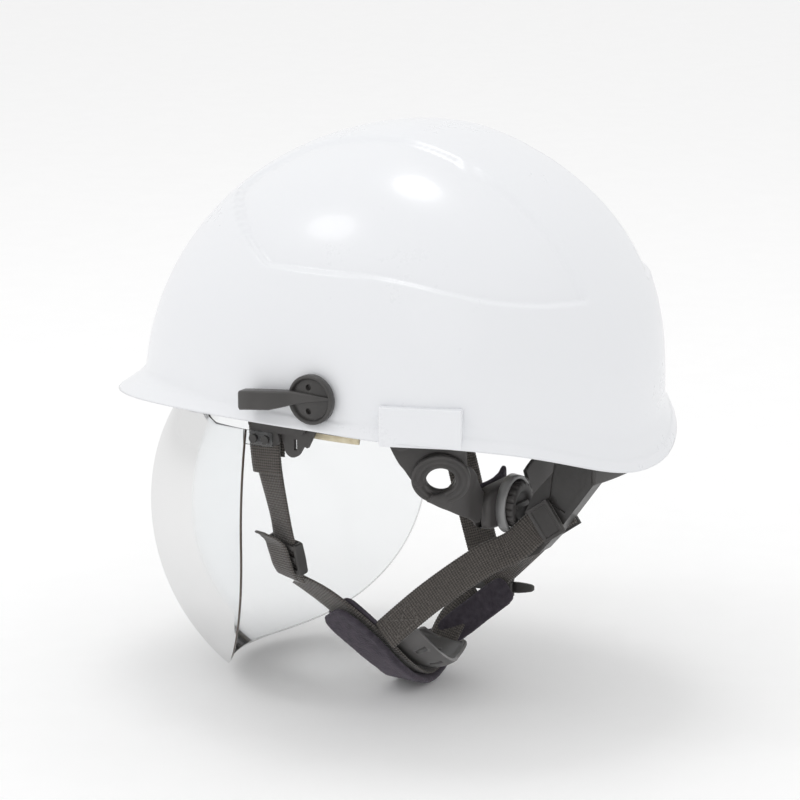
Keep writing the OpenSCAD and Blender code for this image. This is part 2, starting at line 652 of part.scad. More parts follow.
shell();
spindle_bushes();
visor_sheet();
carrier_left();
carrier_right();
carrier_rivets();
lever_left();
lever_right();
crank_left();
crank_right();
retaining_clip_left();
retaining_clip_right();
guide_left();
guide_right();
guide_screws();
headband();
band_studs();
sweatband();
arm_left();
arm_right();
arm_rivets();
rack_left();
rack_right();
ratchet_housing();
ratchet_knob();
nape_pad();
crown_strap_a();
crown_strap_b();
crown_keys();
crown_pad();
front_strap_left();
front_strap_right();
slider_left();
chin_strap();
buckle_body();
buckle_lever();
buckle_pin();
chin_cup();
chin_pad();
rear_strap_left();
rear_strap_right();
rear_hanger();
hanger_screws();
clamp_left();
clamp_right();
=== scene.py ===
"""Looks of a safety helmet with a retractable face shield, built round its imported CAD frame.

Lengths in this script are millimetres in the frame of the part; build() turns them into metres.
"""
import json
import math

import bmesh
import bpy
from mathutils import Matrix, Vector


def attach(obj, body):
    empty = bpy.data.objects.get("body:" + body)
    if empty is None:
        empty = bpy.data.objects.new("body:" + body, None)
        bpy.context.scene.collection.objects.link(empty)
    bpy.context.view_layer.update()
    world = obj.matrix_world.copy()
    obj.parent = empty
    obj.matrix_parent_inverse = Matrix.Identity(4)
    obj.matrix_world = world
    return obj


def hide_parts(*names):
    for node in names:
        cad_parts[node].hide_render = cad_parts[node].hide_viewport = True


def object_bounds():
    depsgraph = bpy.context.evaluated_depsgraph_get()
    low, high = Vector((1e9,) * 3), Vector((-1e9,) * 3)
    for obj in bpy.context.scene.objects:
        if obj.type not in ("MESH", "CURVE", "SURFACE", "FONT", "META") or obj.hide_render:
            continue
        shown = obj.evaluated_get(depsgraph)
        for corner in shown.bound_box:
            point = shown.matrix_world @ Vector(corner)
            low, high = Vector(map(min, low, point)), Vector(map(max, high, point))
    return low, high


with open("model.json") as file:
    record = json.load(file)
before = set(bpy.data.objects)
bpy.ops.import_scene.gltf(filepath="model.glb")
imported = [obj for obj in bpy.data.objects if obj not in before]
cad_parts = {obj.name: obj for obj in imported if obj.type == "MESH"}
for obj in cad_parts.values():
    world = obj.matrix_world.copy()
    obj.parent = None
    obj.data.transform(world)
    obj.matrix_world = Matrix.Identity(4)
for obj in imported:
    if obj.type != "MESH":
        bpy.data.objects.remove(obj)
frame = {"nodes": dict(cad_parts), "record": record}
cad_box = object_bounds()

MM = 0.001
ROOT = "frame_body"
AXIS_X, AXIS_Y, AXIS_Z = (1, 0, 0), (0, 1, 0), (0, 0, 1)


# ---------- node materials ----------

class Shader:
    """A new node material whose Principled shader is fed by procedural patterns."""

    def __init__(self, name):
        self.mat = bpy.data.materials.new(name)
        self.mat.use_nodes = True
        self.tree = self.mat.node_tree
        self.bsdf = self.tree.nodes["Principled BSDF"]

    def add(self, kind, **values):
        node = self.tree.nodes.new("ShaderNode" + kind)
        for key, value in values.items():
            if key in node.inputs:
                node.inputs[key].default_value = value
            else:
                setattr(node, key, value)
        return node

    def join(self, source, target):
        self.tree.links.new(source, target)

    def patterns(self, *kinds):
        """One texture for each (kind, settings), all in the piece's own space."""
        coords = self.add("TexCoord")
        made = [self.add(kind, **settings) for kind, settings in kinds]
        for node in made:
            self.join(coords.outputs["Object"], node.inputs["Vector"])
        return made

    def remap(self, source, **limits):
        """A value carried to new limits, named From_Min, From_Max, To_Min and To_Max."""
        node = self.add("MapRange", **{key.replace("_", " "): value for key, value in limits.items()})
        self.join(source, node.inputs["Value"])
        return node.outputs["Result"]

    def ramp(self, source, low, high, low_at=0.3, high_at=0.7):
        """A colour between low and high."""
        node = self.add("ValToRGB")
        stops = node.color_ramp.elements
        stops[0].position, stops[0].color = low_at, (*low, 1)
        stops[1].position, stops[1].color = high_at, (*high, 1)
        self.join(source, node.inputs["Fac"])
        return node.outputs["Color"]

    def math(self, operation, source, value=None):
        node = self.add("Math", operation=operation)
        self.join(source, node.inputs[0])
        if value is not None:
            node.inputs[1].default_value = value
        return node

    def bump(self, height, strength, distance):
        node = self.add("Bump", Strength=strength, Distance=distance)
        self.join(height, node.inputs["Height"])
        self.join(node.outputs["Normal"], self.bsdf.inputs["Normal"])

    def colour(self, source):
        self.join(source, self.bsdf.inputs["Base Color"])

    def settle(self, **values):
        """Sets inputs of the Principled shader and returns the material."""
        for key, value in values.items():
            self.bsdf.inputs[key.replace("_", " ")].default_value = value
        return self.mat


def paler(colour, gain):
    return (*(min(1, 0.1 + gain * c) for c in colour), 1)


def moulding(name, low, high, rough=0.5, grain=900.0, depth=0.25, edge_highlight=0.25, coat=0.0):
    """Moulded plastic or rubber: a fine grain, slow changes of tone and sheen, and a painted highlight that
    makes convex edges paler.
    """
    sh = Shader(name)
    slow, fine = sh.patterns(("TexNoise", {"Scale": 55.0, "Detail": 4.0}),
                             ("TexNoise", {"Scale": grain, "Detail": 3.0}))
    edge = sh.add("NewGeometry").outputs["Pointiness"]
    # painted highlight: convex edges, found by pointiness, mixed toward a paler colour
    mix = sh.add("MixRGB", Color2=paler(high, 2.2))
    sh.join(sh.remap(edge, From_Min=0.52, From_Max=0.62, To_Max=edge_highlight), mix.inputs["Fac"])
    sh.join(sh.ramp(slow.outputs["Fac"], low, high), mix.inputs["Color1"])
    sh.colour(mix.outputs["Color"])
    gloss = sh.remap(slow.outputs["Fac"], To_Min=rough - 0.08, To_Max=rough + 0.1)
    sh.join(gloss, sh.bsdf.inputs["Roughness"])
    sh.bump(fine.outputs["Fac"], depth, 0.0002)
    return sh.settle(Coat_Weight=coat, Coat_Roughness=0.15)


def shell_paint():
    """Glossy white plastic with the faint waviness and flow marks of a large moulding."""
    sh = Shader("shell_white")
    flow, peel = sh.patterns(("TexNoise", {"Scale": 9.0, "Detail": 12.0, "Roughness": 0.75}),
                             ("TexNoise", {"Scale": 420.0, "Detail": 2.0}))
    sh.colour(sh.ramp(flow.outputs["Fac"], (0.81, 0.82, 0.845), (0.83, 0.84, 0.86), 0.0, 1.0))
    gloss = sh.remap(flow.outputs["Fac"], To_Min=0.24, To_Max=0.32)
    sh.join(gloss, sh.bsdf.inputs["Roughness"])
    sh.bump(peel.outputs["Fac"], 0.05, 0.0003)
    return sh.settle(Subsurface_Weight=0.08, Subsurface_Radius=(0.004, 0.004, 0.004),
                     Coat_Weight=0.25, Coat_Roughness=0.08)


def clear_sheet(name, tint, haze):
    """Clear polycarbonate: mostly see-through, mirror-like at a grazing angle, with faint wipe marks."""
    sh = Shader(name)
    through = sh.add("BsdfTransparent", Color=(*tint, 1))
    mirror = sh.add("BsdfGlossy", Roughness=0.1)
    body = sh.add("BsdfDiffuse", Color=(0.86, 0.88, 0.89, 1))
    wipe, = sh.patterns(("TexNoise", {"Scale": 9.0, "Detail": 2.0}))
    milk = sh.remap(wipe.outputs["Fac"], From_Min=0.35, From_Max=0.75, To_Min=haze, To_Max=haze * 1.7)

    def blend(share, first, second):
        node = sh.add("MixShader")
        for source, target in zip((share, first, second), node.inputs):
            sh.join(source, target)
        return node.outputs["Shader"]

    veil = blend(milk, through.outputs["BSDF"], body.outputs["BSDF"])
    skin = blend(sh.add("Fresnel", IOR=1.22).outputs["Fac"], veil, mirror.outputs["BSDF"])
    sh.join(skin, sh.tree.nodes["Material Output"].inputs["Surface"])
    sh.tree.nodes.remove(sh.bsdf)
    return sh.mat


def woven(name, low, high, rib=1.4, warps=14.0):
    """Ribbed webbing, from UVs that hold the length in millimetres and the share of the width."""
    sh = Shader(name)
    run = sh.add("SeparateXYZ")
    sh.join(sh.add("UVMap", uv_map="run").outputs["UV"], run.inputs["Vector"])

    def wave(socket, rate):
        turn = sh.math("MULTIPLY", socket, 2 * math.pi * rate)
        return sh.math("SINE", turn.outputs[0]).outputs[0]

    fuzz, = sh.patterns(("TexNoise", {"Scale": 700.0, "Detail": 4.0}))
    weave = sh.math("MULTIPLY_ADD", wave(run.outputs["Y"], warps), 0.6)
    sh.join(wave(run.outputs["X"], 1 / rib), weave.inputs[2])
    blend = sh.math("MULTIPLY_ADD", fuzz.outputs["Fac"], 2.2)
    sh.join(weave.outputs[0], blend.inputs[2])
    scaled = sh.remap(blend.outputs[0], From_Min=-0.6, From_Max=2.8)
    sh.colour(sh.ramp(scaled, low, high, 0.15, 0.9))
    sh.bump(blend.outputs[0], 0.5, 0.0003)
    return sh.settle(Roughness=0.72, Sheen_Weight=0.35, Sheen_Roughness=0.5)


def knitted(name, low, high, cell=900.0, sheen=0.5):
    """Soft knitted or brushed fabric: small loops with a nap, and slow changes of tone."""
    sh = Shader(name)
    loops, nap = sh.patterns(("TexVoronoi", {"Scale": cell}), ("TexNoise", {"Scale": 260.0, "Detail": 6.0}))
    sh.colour(sh.ramp(nap.outputs["Fac"], low, high, 0.25, 0.75))
    total = sh.math("ADD", loops.outputs["Distance"])
    sh.join(nap.outputs["Fac"], total.inputs[1])
    sh.bump(total.outputs[0], 0.6, 0.0004)
    return sh.settle(Roughness=0.9, Sheen_Weight=sheen, Sheen_Tint=paler(high, 3))


def plated(name):
    """Plated steel with fine turning marks."""
    sh = Shader(name)
    marks, = sh.patterns(("TexNoise", {"Scale": 1200.0, "Detail": 2.0}))
    sh.colour(sh.ramp(marks.outputs["Fac"], (0.36, 0.36, 0.37), (0.56, 0.56, 0.57)))
    sh.bump(marks.outputs["Fac"], 0.15, 0.0001)
    return sh.settle(Metallic=1.0, Roughness=0.34)


WHITE = shell_paint()
CLEAR = clear_sheet("visor_clear", (0.972, 0.977, 0.98), 0.03)
# painted shade: the clear sheet's edge faces get a greyer, hazier copy of the clear material and, on the
# near side, a dark brown one, standing in for the shade seen in the sheet's edge
RIM_SOFT_PAINTED_SHADE = clear_sheet("visor_rim_soft_painted_shade", (0.8, 0.8, 0.8), 0.2)
RIM_DARK_PAINTED_SHADE = moulding("visor_rim_dark_painted_shade", (0.1, 0.075, 0.06), (0.14, 0.11, 0.09), 0.25, edge_highlight=0.0)
BLACK = moulding("lever_black", (0.03, 0.028, 0.027), (0.05, 0.047, 0.045), 0.42, 1100, 0.3, 0.12, 0.1)
DARK = moulding("moulding_dark", (0.036, 0.033, 0.032), (0.062, 0.058, 0.056), 0.5, 800, 0.3, 0.15)
GREY = moulding("cup_grey", (0.09, 0.088, 0.087), (0.125, 0.12, 0.118), 0.42, 700, 0.25, 0.2, 0.15)
# painted highlight: a pale grey copy of the dark moulding, for the lit edge round the ratchet knob
COLLAR_PAINTED_HIGHLIGHT = moulding("collar_painted_highlight", (0.2, 0.2, 0.2), (0.27, 0.27, 0.27), 0.32, 700, 0.2, 0.2, 0.2)
WEBBING = woven("webbing", (0.03, 0.026, 0.023), (0.115, 0.1, 0.088))
THREAD = knitted("thread", (0.1, 0.09, 0.085), (0.17, 0.155, 0.145), 2400, 0.3)
FABRIC = knitted("pad_fabric", (0.022, 0.018, 0.026), (0.06, 0.05, 0.064), 1000, 0.5)
CREAM = knitted("sweatband_cream", (0.72, 0.62, 0.42), (0.86, 0.78, 0.58), 700, 0.4)
STEEL = plated("rivet_steel")
FINISH = {"shell_white": WHITE, "visor_clear": CLEAR, "lever_black": BLACK, "moulding_dark": DARK,
          "cup_grey": GREY, "webbing": WEBBING, "pad_fabric": FABRIC, "sweatband_cream": CREAM,
          "rivet_steel": STEEL}


# ---------- mesh helpers ----------

def new_object(name, data):
    obj = bpy.data.objects.new(name, data)
    bpy.context.scene.collection.objects.link(obj)
    return obj


def build(name, verts, faces, material, smooth=True):
    """A mesh object from points in millimetres."""
    mesh = bpy.data.meshes.new(name)
    mesh.from_pydata([Vector(v) * MM for v in verts], [], faces)
    mesh.materials.append(material)
    for face in mesh.polygons:
        face.use_smooth = smooth
    return new_object(name, mesh)


def bake(obj):
    """Replaces a piece's mesh by what its modifiers make of it."""
    graph = bpy.context.evaluated_depsgraph_get()
    mesh = bpy.data.meshes.new_from_object(obj.evaluated_get(graph))
    obj.modifiers.clear()
    obj.data = mesh
    return obj


def modify(obj, kind, **settings):
    mod = obj.modifiers.new(kind.lower(), kind)
    for key, value in settings.items():
        setattr(mod, key, value)
    return obj


def bevel(obj, width, segments=3, angle=32):
    """Rounds the sharp edges of a piece and shades the rest smooth."""
    modify(obj, "BEVEL", width=width * MM, segments=segments, limit_method="ANGLE",
           angle_limit=math.radians(angle), harden_normals=True)
    for face in obj.data.polygons:
        face.use_smooth = True
    return obj


def cut(obj, *tools):
    """Takes the tools' volume out of a piece and deletes them."""
    for tool in tools:
        modify(obj, "BOOLEAN", operation="DIFFERENCE", object=tool, solver="EXACT")
    bake(obj)
    for tool in tools:
        bpy.data.objects.remove(tool)
    return obj


def join(name, *objs):
    """One piece out of several, with their materials."""
    target = objs[0]
    for obj in objs:
        if obj.modifiers:
            bake(obj)
    with bpy.context.temp_override(active_object=target, object=target, selected_objects=list(objs),
                                   selected_editable_objects=list(objs)):
        bpy.ops.object.join()
    target.name = name
    return target


def place(obj, body, slot, *nodes):
    """Hangs a finished piece on its body and hides the CAD nodes that it stands for; the slot is not used.
    """
    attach(obj, body)
    if nodes:
        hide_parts(*nodes)
    return obj


def mirrored(obj, name):
    """A copy of a piece on the wearer's right."""
    bake(obj)
    mesh = obj.data.copy()
    mesh.transform(Matrix.Scale(-1, 4, AXIS_X))
    mesh.flip_normals()
    return new_object(name, mesh)


def place_both(left, body, slot, *nodes):
    """Places a left piece and its mirror image, whose names say right where the left's say left."""
    right = mirrored(left, left.name.replace("left", "right"))
    place(left, body, slot, *nodes)
    place(right, body.replace("left", "right"), slot, *(node.replace("left", "right") for node in nodes))


def axes_for(direction):
    """Two directions at right angles to a direction."""
    n = Vector(direction).normalized()
    side = Vector((0, 0, 1)) if abs(n.z) < 0.9 else Vector((0, 1, 0))
    u = side.cross(n).normalized()
    return n, u, n.cross(u)


def tube(rows, size, base=0):
    """Faces of a tube through rows of points, with its two end caps."""
    sides = [(base + i * size + k, base + i * size + (k + 1) % size,
              base + (i + 1) * size + (k + 1) % size, base + (i + 1) * size + k)
             for i in range(rows - 1) for k in range(size)]
    last = base + (rows - 1) * size
    return sides + [tuple(range(base + size - 1, base - 1, -1)), tuple(range(last, last + size))]


def lathe(name, profile, origin, direction, material, count=64, wobble=None):
    """A turned piece: profile is [(radius, height)], and wobble(angle, radius) may change the radius."""
    n, u, v = axes_for(direction)
    origin = Vector(origin)
    verts = []
    for radius, height in profile:
        for k in range(count):
            a = 2 * math.pi * k / count
            r = radius + (wobble(a, radius) if wobble else 0)
            verts.append(origin + n * height + (u * math.cos(a) + v * math.sin(a)) * r)
    return build(name, verts, tube(len(profile), count), material)


def ring(name, profile, origin, direction, material, count=96):
    """A turned ring: its profile is a closed loop of (radius, height)."""
    n, u, v = axes_for(direction)
    origin = Vector(origin)
    size = len(profile)
    verts, faces = [], []
    for k in range(count):
        a = 2 * math.pi * k / count
        out = u * math.cos(a) + v * math.sin(a)
        verts += [origin + n * height + out * radius for radius, height in profile]
    for k in range(count):
        j = (k + 1) % count
        for i in range(size):
            m = (i + 1) % size
            faces.append((k * size + i, j * size + i, j * size + m, k * size + m))
    return fix_normals(build(name, verts, faces, material))


def rounded(half_u, half_v, radius, steps=4):
    """Outline of a rectangle with round corners, anticlockwise."""
    points = []
    for corner, (su, sv) in enumerate(((1, 1), (-1, 1), (-1, -1), (1, -1))):
        for k in range(steps + 1):
            a = math.radians(90 * (corner + k / steps))
            points.append((su * (half_u - radius) + radius * math.cos(a),
                           sv * (half_v - radius) + radius * math.sin(a)))
    return points


def loft(name, sections, material, steps=4):
    """A closed body through rounded rectangles, each (centre, u, v, half u, half v, corner radius)."""
    verts = []
    for centre, u, v, half_u, half_v, radius in sections:
        verts += [Vector(centre) + Vector(u) * a + Vector(v) * b
                  for a, b in rounded(half_u, half_v, radius, steps)]
    return fix_normals(build(name, verts, tube(len(sections), 4 * (steps + 1)), material))


def fix_normals(obj):
    mesh = bmesh.new()
    mesh.from_mesh(obj.data)
    bmesh.ops.recalc_face_normals(mesh, faces=mesh.faces)
    mesh.to_mesh(obj.data)
    mesh.free()
    return obj


def block(name, low, high, material, at=(0, 0, 0), turn=None):
    """A box between two corners, turned and then moved."""
    x, y, z = zip(low, high)
    corners = [Vector((x[i & 1], y[i >> 1 & 1], z[i >> 2 & 1])) for i in range(8)]
    if turn:
        corners = [turn @ c for c in corners]
    faces = [(0, 2, 3, 1), (4, 5, 7, 6), (0, 1, 5, 4), (2, 6, 7, 3), (0, 4, 6, 2), (1, 3, 7, 5)]
    return build(name, [c + Vector(at) for c in corners], faces, material, False)


def slab(name, outline, x0, x1, material):
    """A plate parallel to the middle plane, from an outline in Y and Z."""
    n = len(outline)
    verts = [(x, y, z) for x in (x0, x1) for y, z in outline]
    faces = [tuple(reversed(range(n))), tuple(range(n, 2 * n))]
    faces += [(k, (k + 1) % n, n + (k + 1) % n, n + k) for k in range(n)]
    return fix_normals(build(name, verts, faces, material, False))


def catmull(points, t):
    """Point on a Catmull-Rom curve through the points; t runs from 0 to one less than their number."""
    i = min(int(t), len(points) - 2)
    f = t - i
    a, b = points[max(i - 1, 0)], points[i]
    c, d = points[i + 1], points[min(i + 2, len(points) - 1)]
    return tuple(0.5 * (2 * q + (r - p) * f + (2 * p - 5 * q + 4 * r - s) * f * f
                        + (3 * q - p - 3 * r + s) * f ** 3) for p, q, r, s in zip(a, b, c, d))


def square_to(wide, run):
    """The part of a width direction that is at right angles to the run of a strap."""
    return (wide - run * wide.dot(run)).normalized()


def directions(stations):
    """(centre, width direction, outward direction) at each station."""
    at = [Vector(p[:3]) for p in stations]
    made = []
    for i, p in enumerate(stations):
        run = (at[min(i + 1, len(at) - 1)] - at[max(i - 1, 0)]).normalized()
        wide = square_to(Vector(p[3:6]), run)
        made.append((at[i], wide, run.cross(wide)))
    return made


class Run:
    """A strap's path through stations (x, y, z, width direction), measured in millimetres."""

    def __init__(self, stations):
        fine = [catmull(stations, (len(stations) - 1) * k / 400) for k in range(401)]
        at = [Vector(p[:3]) for p in fine]
        self.at = [(0.0, at[0], Vector(fine[0][3:6]))]
        for k in range(1, len(at)):
            far = self.at[-1][0] + (at[k] - at[k - 1]).length
            self.at.append((far, at[k], Vector(fine[k][3:6])))
        self.length = self.at[-1][0]

    def place(self, s):
        """(centre, width direction, outward direction) at length s."""
        lo, hi = 0, len(self.at) - 1
        while hi - lo > 1:
            mid = (lo + hi) // 2
            lo, hi = (mid, hi) if self.at[mid][0] <= s else (lo, mid)
        a, b = self.at[lo], self.at[hi]
        f = (s - a[0]) / max(b[0] - a[0], 1e-9)
        before, after = self.at[max(lo - 2, 0)][1], self.at[min(hi + 2, len(self.at) - 1)][1]
        tangent = (after - before).normalized()
        wide = square_to(a[2].lerp(b[2], f), tangent)
        return a[1].lerp(b[1], f), wide, tangent.cross(wide)


WEB_W, WEB_T = 16.5, 1.5


def strap(name, stations, width=WEB_W, thick=WEB_T, rib=1.4, depth=0.14):
    """Flat woven webbing with cross ribs, a selvedge on each side and UVs for its weave."""
    run = Run(stations)
    rows = max(int(run.length / (rib / 4)), 4)
    across = 12
    verts, uvs = [], []
    for i in range(rows + 1):
        s = run.length * i / rows
        centre, wide, out = run.place(s)
        rise = depth * (abs(math.sin(math.pi * s / rib)) - 0.5)
        edge = 0.12 * math.sin(2 * math.pi * s / rib)
        for side in (1, -1):
            for k in range(across + 1):
                v = (2 * k / across - 1) * side
                round_off = (1 - abs(v) ** 6) ** 0.5
                half = max((thick / 2 + rise * (1 - abs(v) ** 4)) * (0.35 + 0.65 * round_off), 0.1)
                verts.append(centre + wide * (v * (width / 2 + edge * abs(v))) + out * (side * half))
                uvs.append((s, (v + 1) / 2))
    obj = build(name, verts, tube(rows + 1, 2 * (across + 1)), WEBBING)
    layer = obj.data.uv_layers.new(name="run")
    for corner in obj.data.loops:
        layer.data[corner.index].uv = uvs[corner.vertex_index]
    return fix_normals(obj)


def stitches(name, stations, lines, lift, pitch=2.6):
    """Rows of thread on a strap: each line is (s, v, s, v), v in millimetres from the middle."""
    run = Run(stations)
    verts, faces = [], []
    for s0, v0, s1, v1 in lines:
        span = math.hypot(s1 - s0, v1 - v0)
        count = max(int(span / pitch), 1)
        for i in range(count):
            ends = []
            for f in ((i + 0.14) / count, (i + 0.86) / count):
                centre, wide, out = run.place(s0 + (s1 - s0) * f)
                ends.append((centre + wide * (v0 + (v1 - v0) * f) + out * lift, out))
            (a, n), (b, _) = ends
            along = (b - a).normalized()
            side = along.cross(n).normalized()
            faces += tube(5, 6, len(verts))
            for f, r in ((0, 0.12), (0.15, 0.3), (0.5, 0.36), (0.85, 0.3), (1, 0.12)):
                p = a.lerp(b, f)
                verts += [p + (side * math.cos(t) + n * math.sin(t)) * r
                          for t in (k * math.pi / 3 for k in range(6))]
    return fix_normals(build(name, verts, faces, THREAD))


def box_stitch(s0, s1, half):
    """The lines of a stitched box with a cross."""
    return [(s0, -half, s1, -half), (s1, -half, s1, half), (s1, half, s0, half), (s0, half, s0, -half),
            (s0, -half, s1, half), (s0, half, s1, -half)]


def plump(obj, voxel, cap, pressure=4.0):
    """Swells a padded piece by cloth simulation, letting no point move further than cap."""
    modify(obj, "REMESH", mode="VOXEL", voxel_size=voxel * MM)
    bake(obj)
    material = obj.data.materials[0] if obj.data.materials else FABRIC
    rest = [v.co.copy() for v in obj.data.vertices]
    modify(obj, "CLOTH")
    cloth = obj.modifiers["cloth"].settings
    cloth.use_pressure = True
    cloth.uniform_pressure_force = pressure
    cloth.effector_weights.gravity = 0
    for step in range(1, 16):
        bpy.context.scene.frame_set(step)
    bake(obj)
    bpy.context.scene.frame_set(1)
    for vertex, home in zip(obj.data.vertices, rest):
        move = vertex.co - home
        if move.length > cap * MM:
            vertex.co = home + move.normalized() * cap * MM
    modify(obj, "SUBSURF", levels=1, render_levels=1)
    bake(obj)
    obj.data.materials.clear()
    obj.data.materials.append(material)
    for face in obj.data.polygons:
        face.use_smooth = True
    return obj


# ---------- shell ----------

CROWN, HALF_W, FRONT_LEN, REAR_LEN, WALL = 137.5, 106, 153, 123, 2.4
PLAN_E = 2 / 2.2
PANEL_DEPTH = 2.2
PIVOT = (0, 17)


def clamp01(v):
    return min(1.0, max(0.0, v))


def smooth(v):
    c = clamp01(v)
    return c * c * (3 - 2 * c)


def spow(v, e):
    return math.copysign(abs(v) ** e, v)


def fall(s, p, q):
    return (1 - clamp01(s) ** p) ** (1 / q)


def rim_z(a):
    front, rear = max(0, -math.sin(a)), max(0, math.sin(a))
    return 1.5 - 10.5 * front ** 3 - 5.5 * rear - 20 * rear ** 6


def dome_point(a, z):
    s = z / CROWN
    length = FRONT_LEN * fall(s, 1.7, 2.02) if math.sin(a) < 0 else REAR_LEN * fall(s, 2.8, 1.55)
    return Vector((HALF_W * fall(s, 2.8, 2.2) * spow(math.cos(a), PLAN_E),
                   length * spow(math.sin(a), PLAN_E), z))


def dome_normal(p):
    length = FRONT_LEN if p.y < 0 else REAR_LEN
    return Vector((p.x / HALF_W ** 2, p.y / length ** 2, max(0, p.z) / CROWN ** 2)).normalized()


def flare(a, h):
    front, rear = max(0, -math.sin(a)) ** 2, max(0, math.sin(a)) ** 2
    reach = 7 + 8 * front + 13 * rear
    return (3.4 + 12.6 * front + 2.6 * rear) * clamp01(1 - h / reach) ** 1.5


def panel(p):
    """Depth of the recessed side panel, with its ledge, its front edge and its upper edge."""
    ledge = 77 - 14 * smooth((p.y - 20) / 90)
    front = -38 - (p.z - 77) * 1.63
    ridge = 35 + 9 * smooth((-40 - p.y) / 42)
    return (PANEL_DEPTH * smooth((abs(p.x) - ridge + 4) / 5) * smooth((p.z - ledge + 1.5) / 3)
            * smooth((p.y - front) / 5))


def badge(p):
    """A blank raised pad on the front."""
    side = smooth((28 - abs(p.x)) / 2.5)
    return 1.4 * side * smooth((p.z - 12) / 2.5) * smooth((30 - p.z) / 2.5) if p.y < -60 else 0


def shell_point(a, z, inside):
    p = dome_point(a, z)
    h = z - rim_z(a)
    lip = 0.6 * (1 - smooth((h - 4.6) / 1.4))
    out = flare(a, h) - panel(p)
    return p + dome_normal(p) * (out - WALL if inside else out + lip + badge(p))


def height_steps():
    """Heights as (above the rim in mm, share of the rest of the way to the crown)."""
    low = [0, 0.8, 1.6, 2.6, 3.6, 4.4, 5, 5.6, 6.2, 7.2, 8.6, 10.2, 12, 14, 16, 18, 20]
    share = [k * 0.02 for k in range(1, 15)] + [0.28 + k * 0.006 for k in range(1, 50)]
    share += [0.574 + k * 0.02 for k in range(1, 16)]
    radius = [0.53 - 0.52 * k / 26 for k in range(27)]
    return [(h, 0) for h in low] + [(20, f) for f in share] + \
        [(20, (1 - r ** 2.2) ** (1 / 2.8)) for r in radius]


def make_shell():
    """The shell's two skins over the dome formulas, joined by a rounded rim."""
    count = 320
    steps = height_steps()
    verts, faces = [], []
    for inside in (False, True):
        for h, share in steps:
            for k in range(count):
                a = 2 * math.pi * k / count
                low = rim_z(a)
                z = low + h if not share else low + h + (CROWN - low - h) * share
                verts.append(shell_point(a, z, inside))
        verts.append(Vector((0, 0, CROWN - (WALL if inside else 0))))
    rows = len(steps)
    layer = rows * count + 1
    for base in (0, layer):
        last = base + (rows - 1) * count
        faces += tube(rows, count, base)[:-2]
        faces += [(last + k, last + (k + 1) % count, base + layer - 1) for k in range(count)]
    # the rim's rounded lower edge, between the two skins
    arc = [len(verts) + i * count for i in range(3)]
    for i in range(3):
        f = (i + 1) / 4
        for k in range(count):
            p = verts[k].lerp(verts[layer + k], f)
            verts.append(p - Vector((0, 0, 0.4 * math.sin(math.pi * f))))
    bands = [0, *arc, layer]
    for upper, lower in zip(bands, bands[1:]):
        for k in range(count):
            j = (k + 1) % count
            faces.append((upper + k, lower + k, lower + j, upper + j))
    return fix_normals(build("shell_skin", verts, faces, WHITE))


SLOT_AT, SLOT_TURN = (97.4, 54, 6.7), 19.9


def slot_block():
    """Raised housing on the rim with the accessory slot in its lower face."""
    turn = Matrix.Rotation(math.radians(SLOT_TURN), 3, "Z")
    body = block("slot_housing_left", (-1.2, -20, -8.5), (4, 20, 10.5), WHITE, SLOT_AT, turn)
    tool = block("slot_tool", (0.9, -15, -9.5), (2.9, 15, 7.5), WHITE, SLOT_AT, turn)
    cut(body, tool)
    return bevel(body, 1.1, 3)


def screw_post(y, z, x1, x0=83.1, radius=5, edge=0.4):
    """A post along X with rounded ends."""
    span = x1 - x0
    profile = [(radius - edge, 0), (radius, edge), (radius, span - edge), (radius - edge, span)]
    return lathe("post", profile, (x0, y, z), AXIS_X, WHITE, 32)


def posts():
    """Screw posts inside the shell, for the guides, the rear hanger and the crown straps."""
    made = [screw_post(22, 4, 103.2), screw_post(45, 12, 98.6)]
    made.append(lathe("post", [(3.2, 0), (3.5, 0.3), (3.5, 4)], (18, 117.2, -14), AXIS_Y, WHITE, 32))
    made.append(lathe("post", [(2.6, 2.1), (3, 2.5), (3, 3.3), (5, 3.3), (5, 12.3)], (66, 75, 12),
                      (66, 83, 0), WHITE, 32))
    return join("shell_posts_left", *made)


def shells():
    place(make_shell(), ROOT, "shell_white", "shell")
    for piece in (slot_block(), posts()):
        place_both(piece, ROOT, "shell_white")


# ---------- face shield ----------

SHEET_C, SHEET_RY, SHEET_RZ, SHEET_UP, SHEET_W = (-43.6, -68.3), 111, 109.4, 100, 93.8
SHEET_TIP, SHEET_T = -155.9, 2.0


def sheet_point(u, v):
    top = 5 - 14 * smooth((abs(u) - 0.55) / 0.3)
    z = SHEET_TIP + (top - SHEET_TIP) * (1 - math.cos(math.radians(90 * v)))
    d = z - SHEET_C[1]
    k = math.sqrt(max(0.0, 1 - (d / (SHEET_UP if d > 0 else SHEET_RZ)) ** 2))
    half = SHEET_W - 5.6 * (d / 58) ** 2 if d > 0 else SHEET_W * k
    edge_y = -53 if z > -70 else -115 + 62 * math.sqrt(max(0, 1 - ((z + 70) / 86) ** 2))
    ry = SHEET_RY * k
    end = math.acos(max(-1, min(1, (SHEET_C[0] - edge_y) / max(ry, 1e-6))))
    return Vector((half * math.sin(end * u), SHEET_C[0] - ry * math.cos(end * u), z))


def sheet_normal(p):
    return Vector((p.x / SHEET_W ** 2, (p.y - SHEET_C[0]) / SHEET_RY ** 2,
                   (p.z - SHEET_C[1]) / SHEET_RZ ** 2)).normalized()


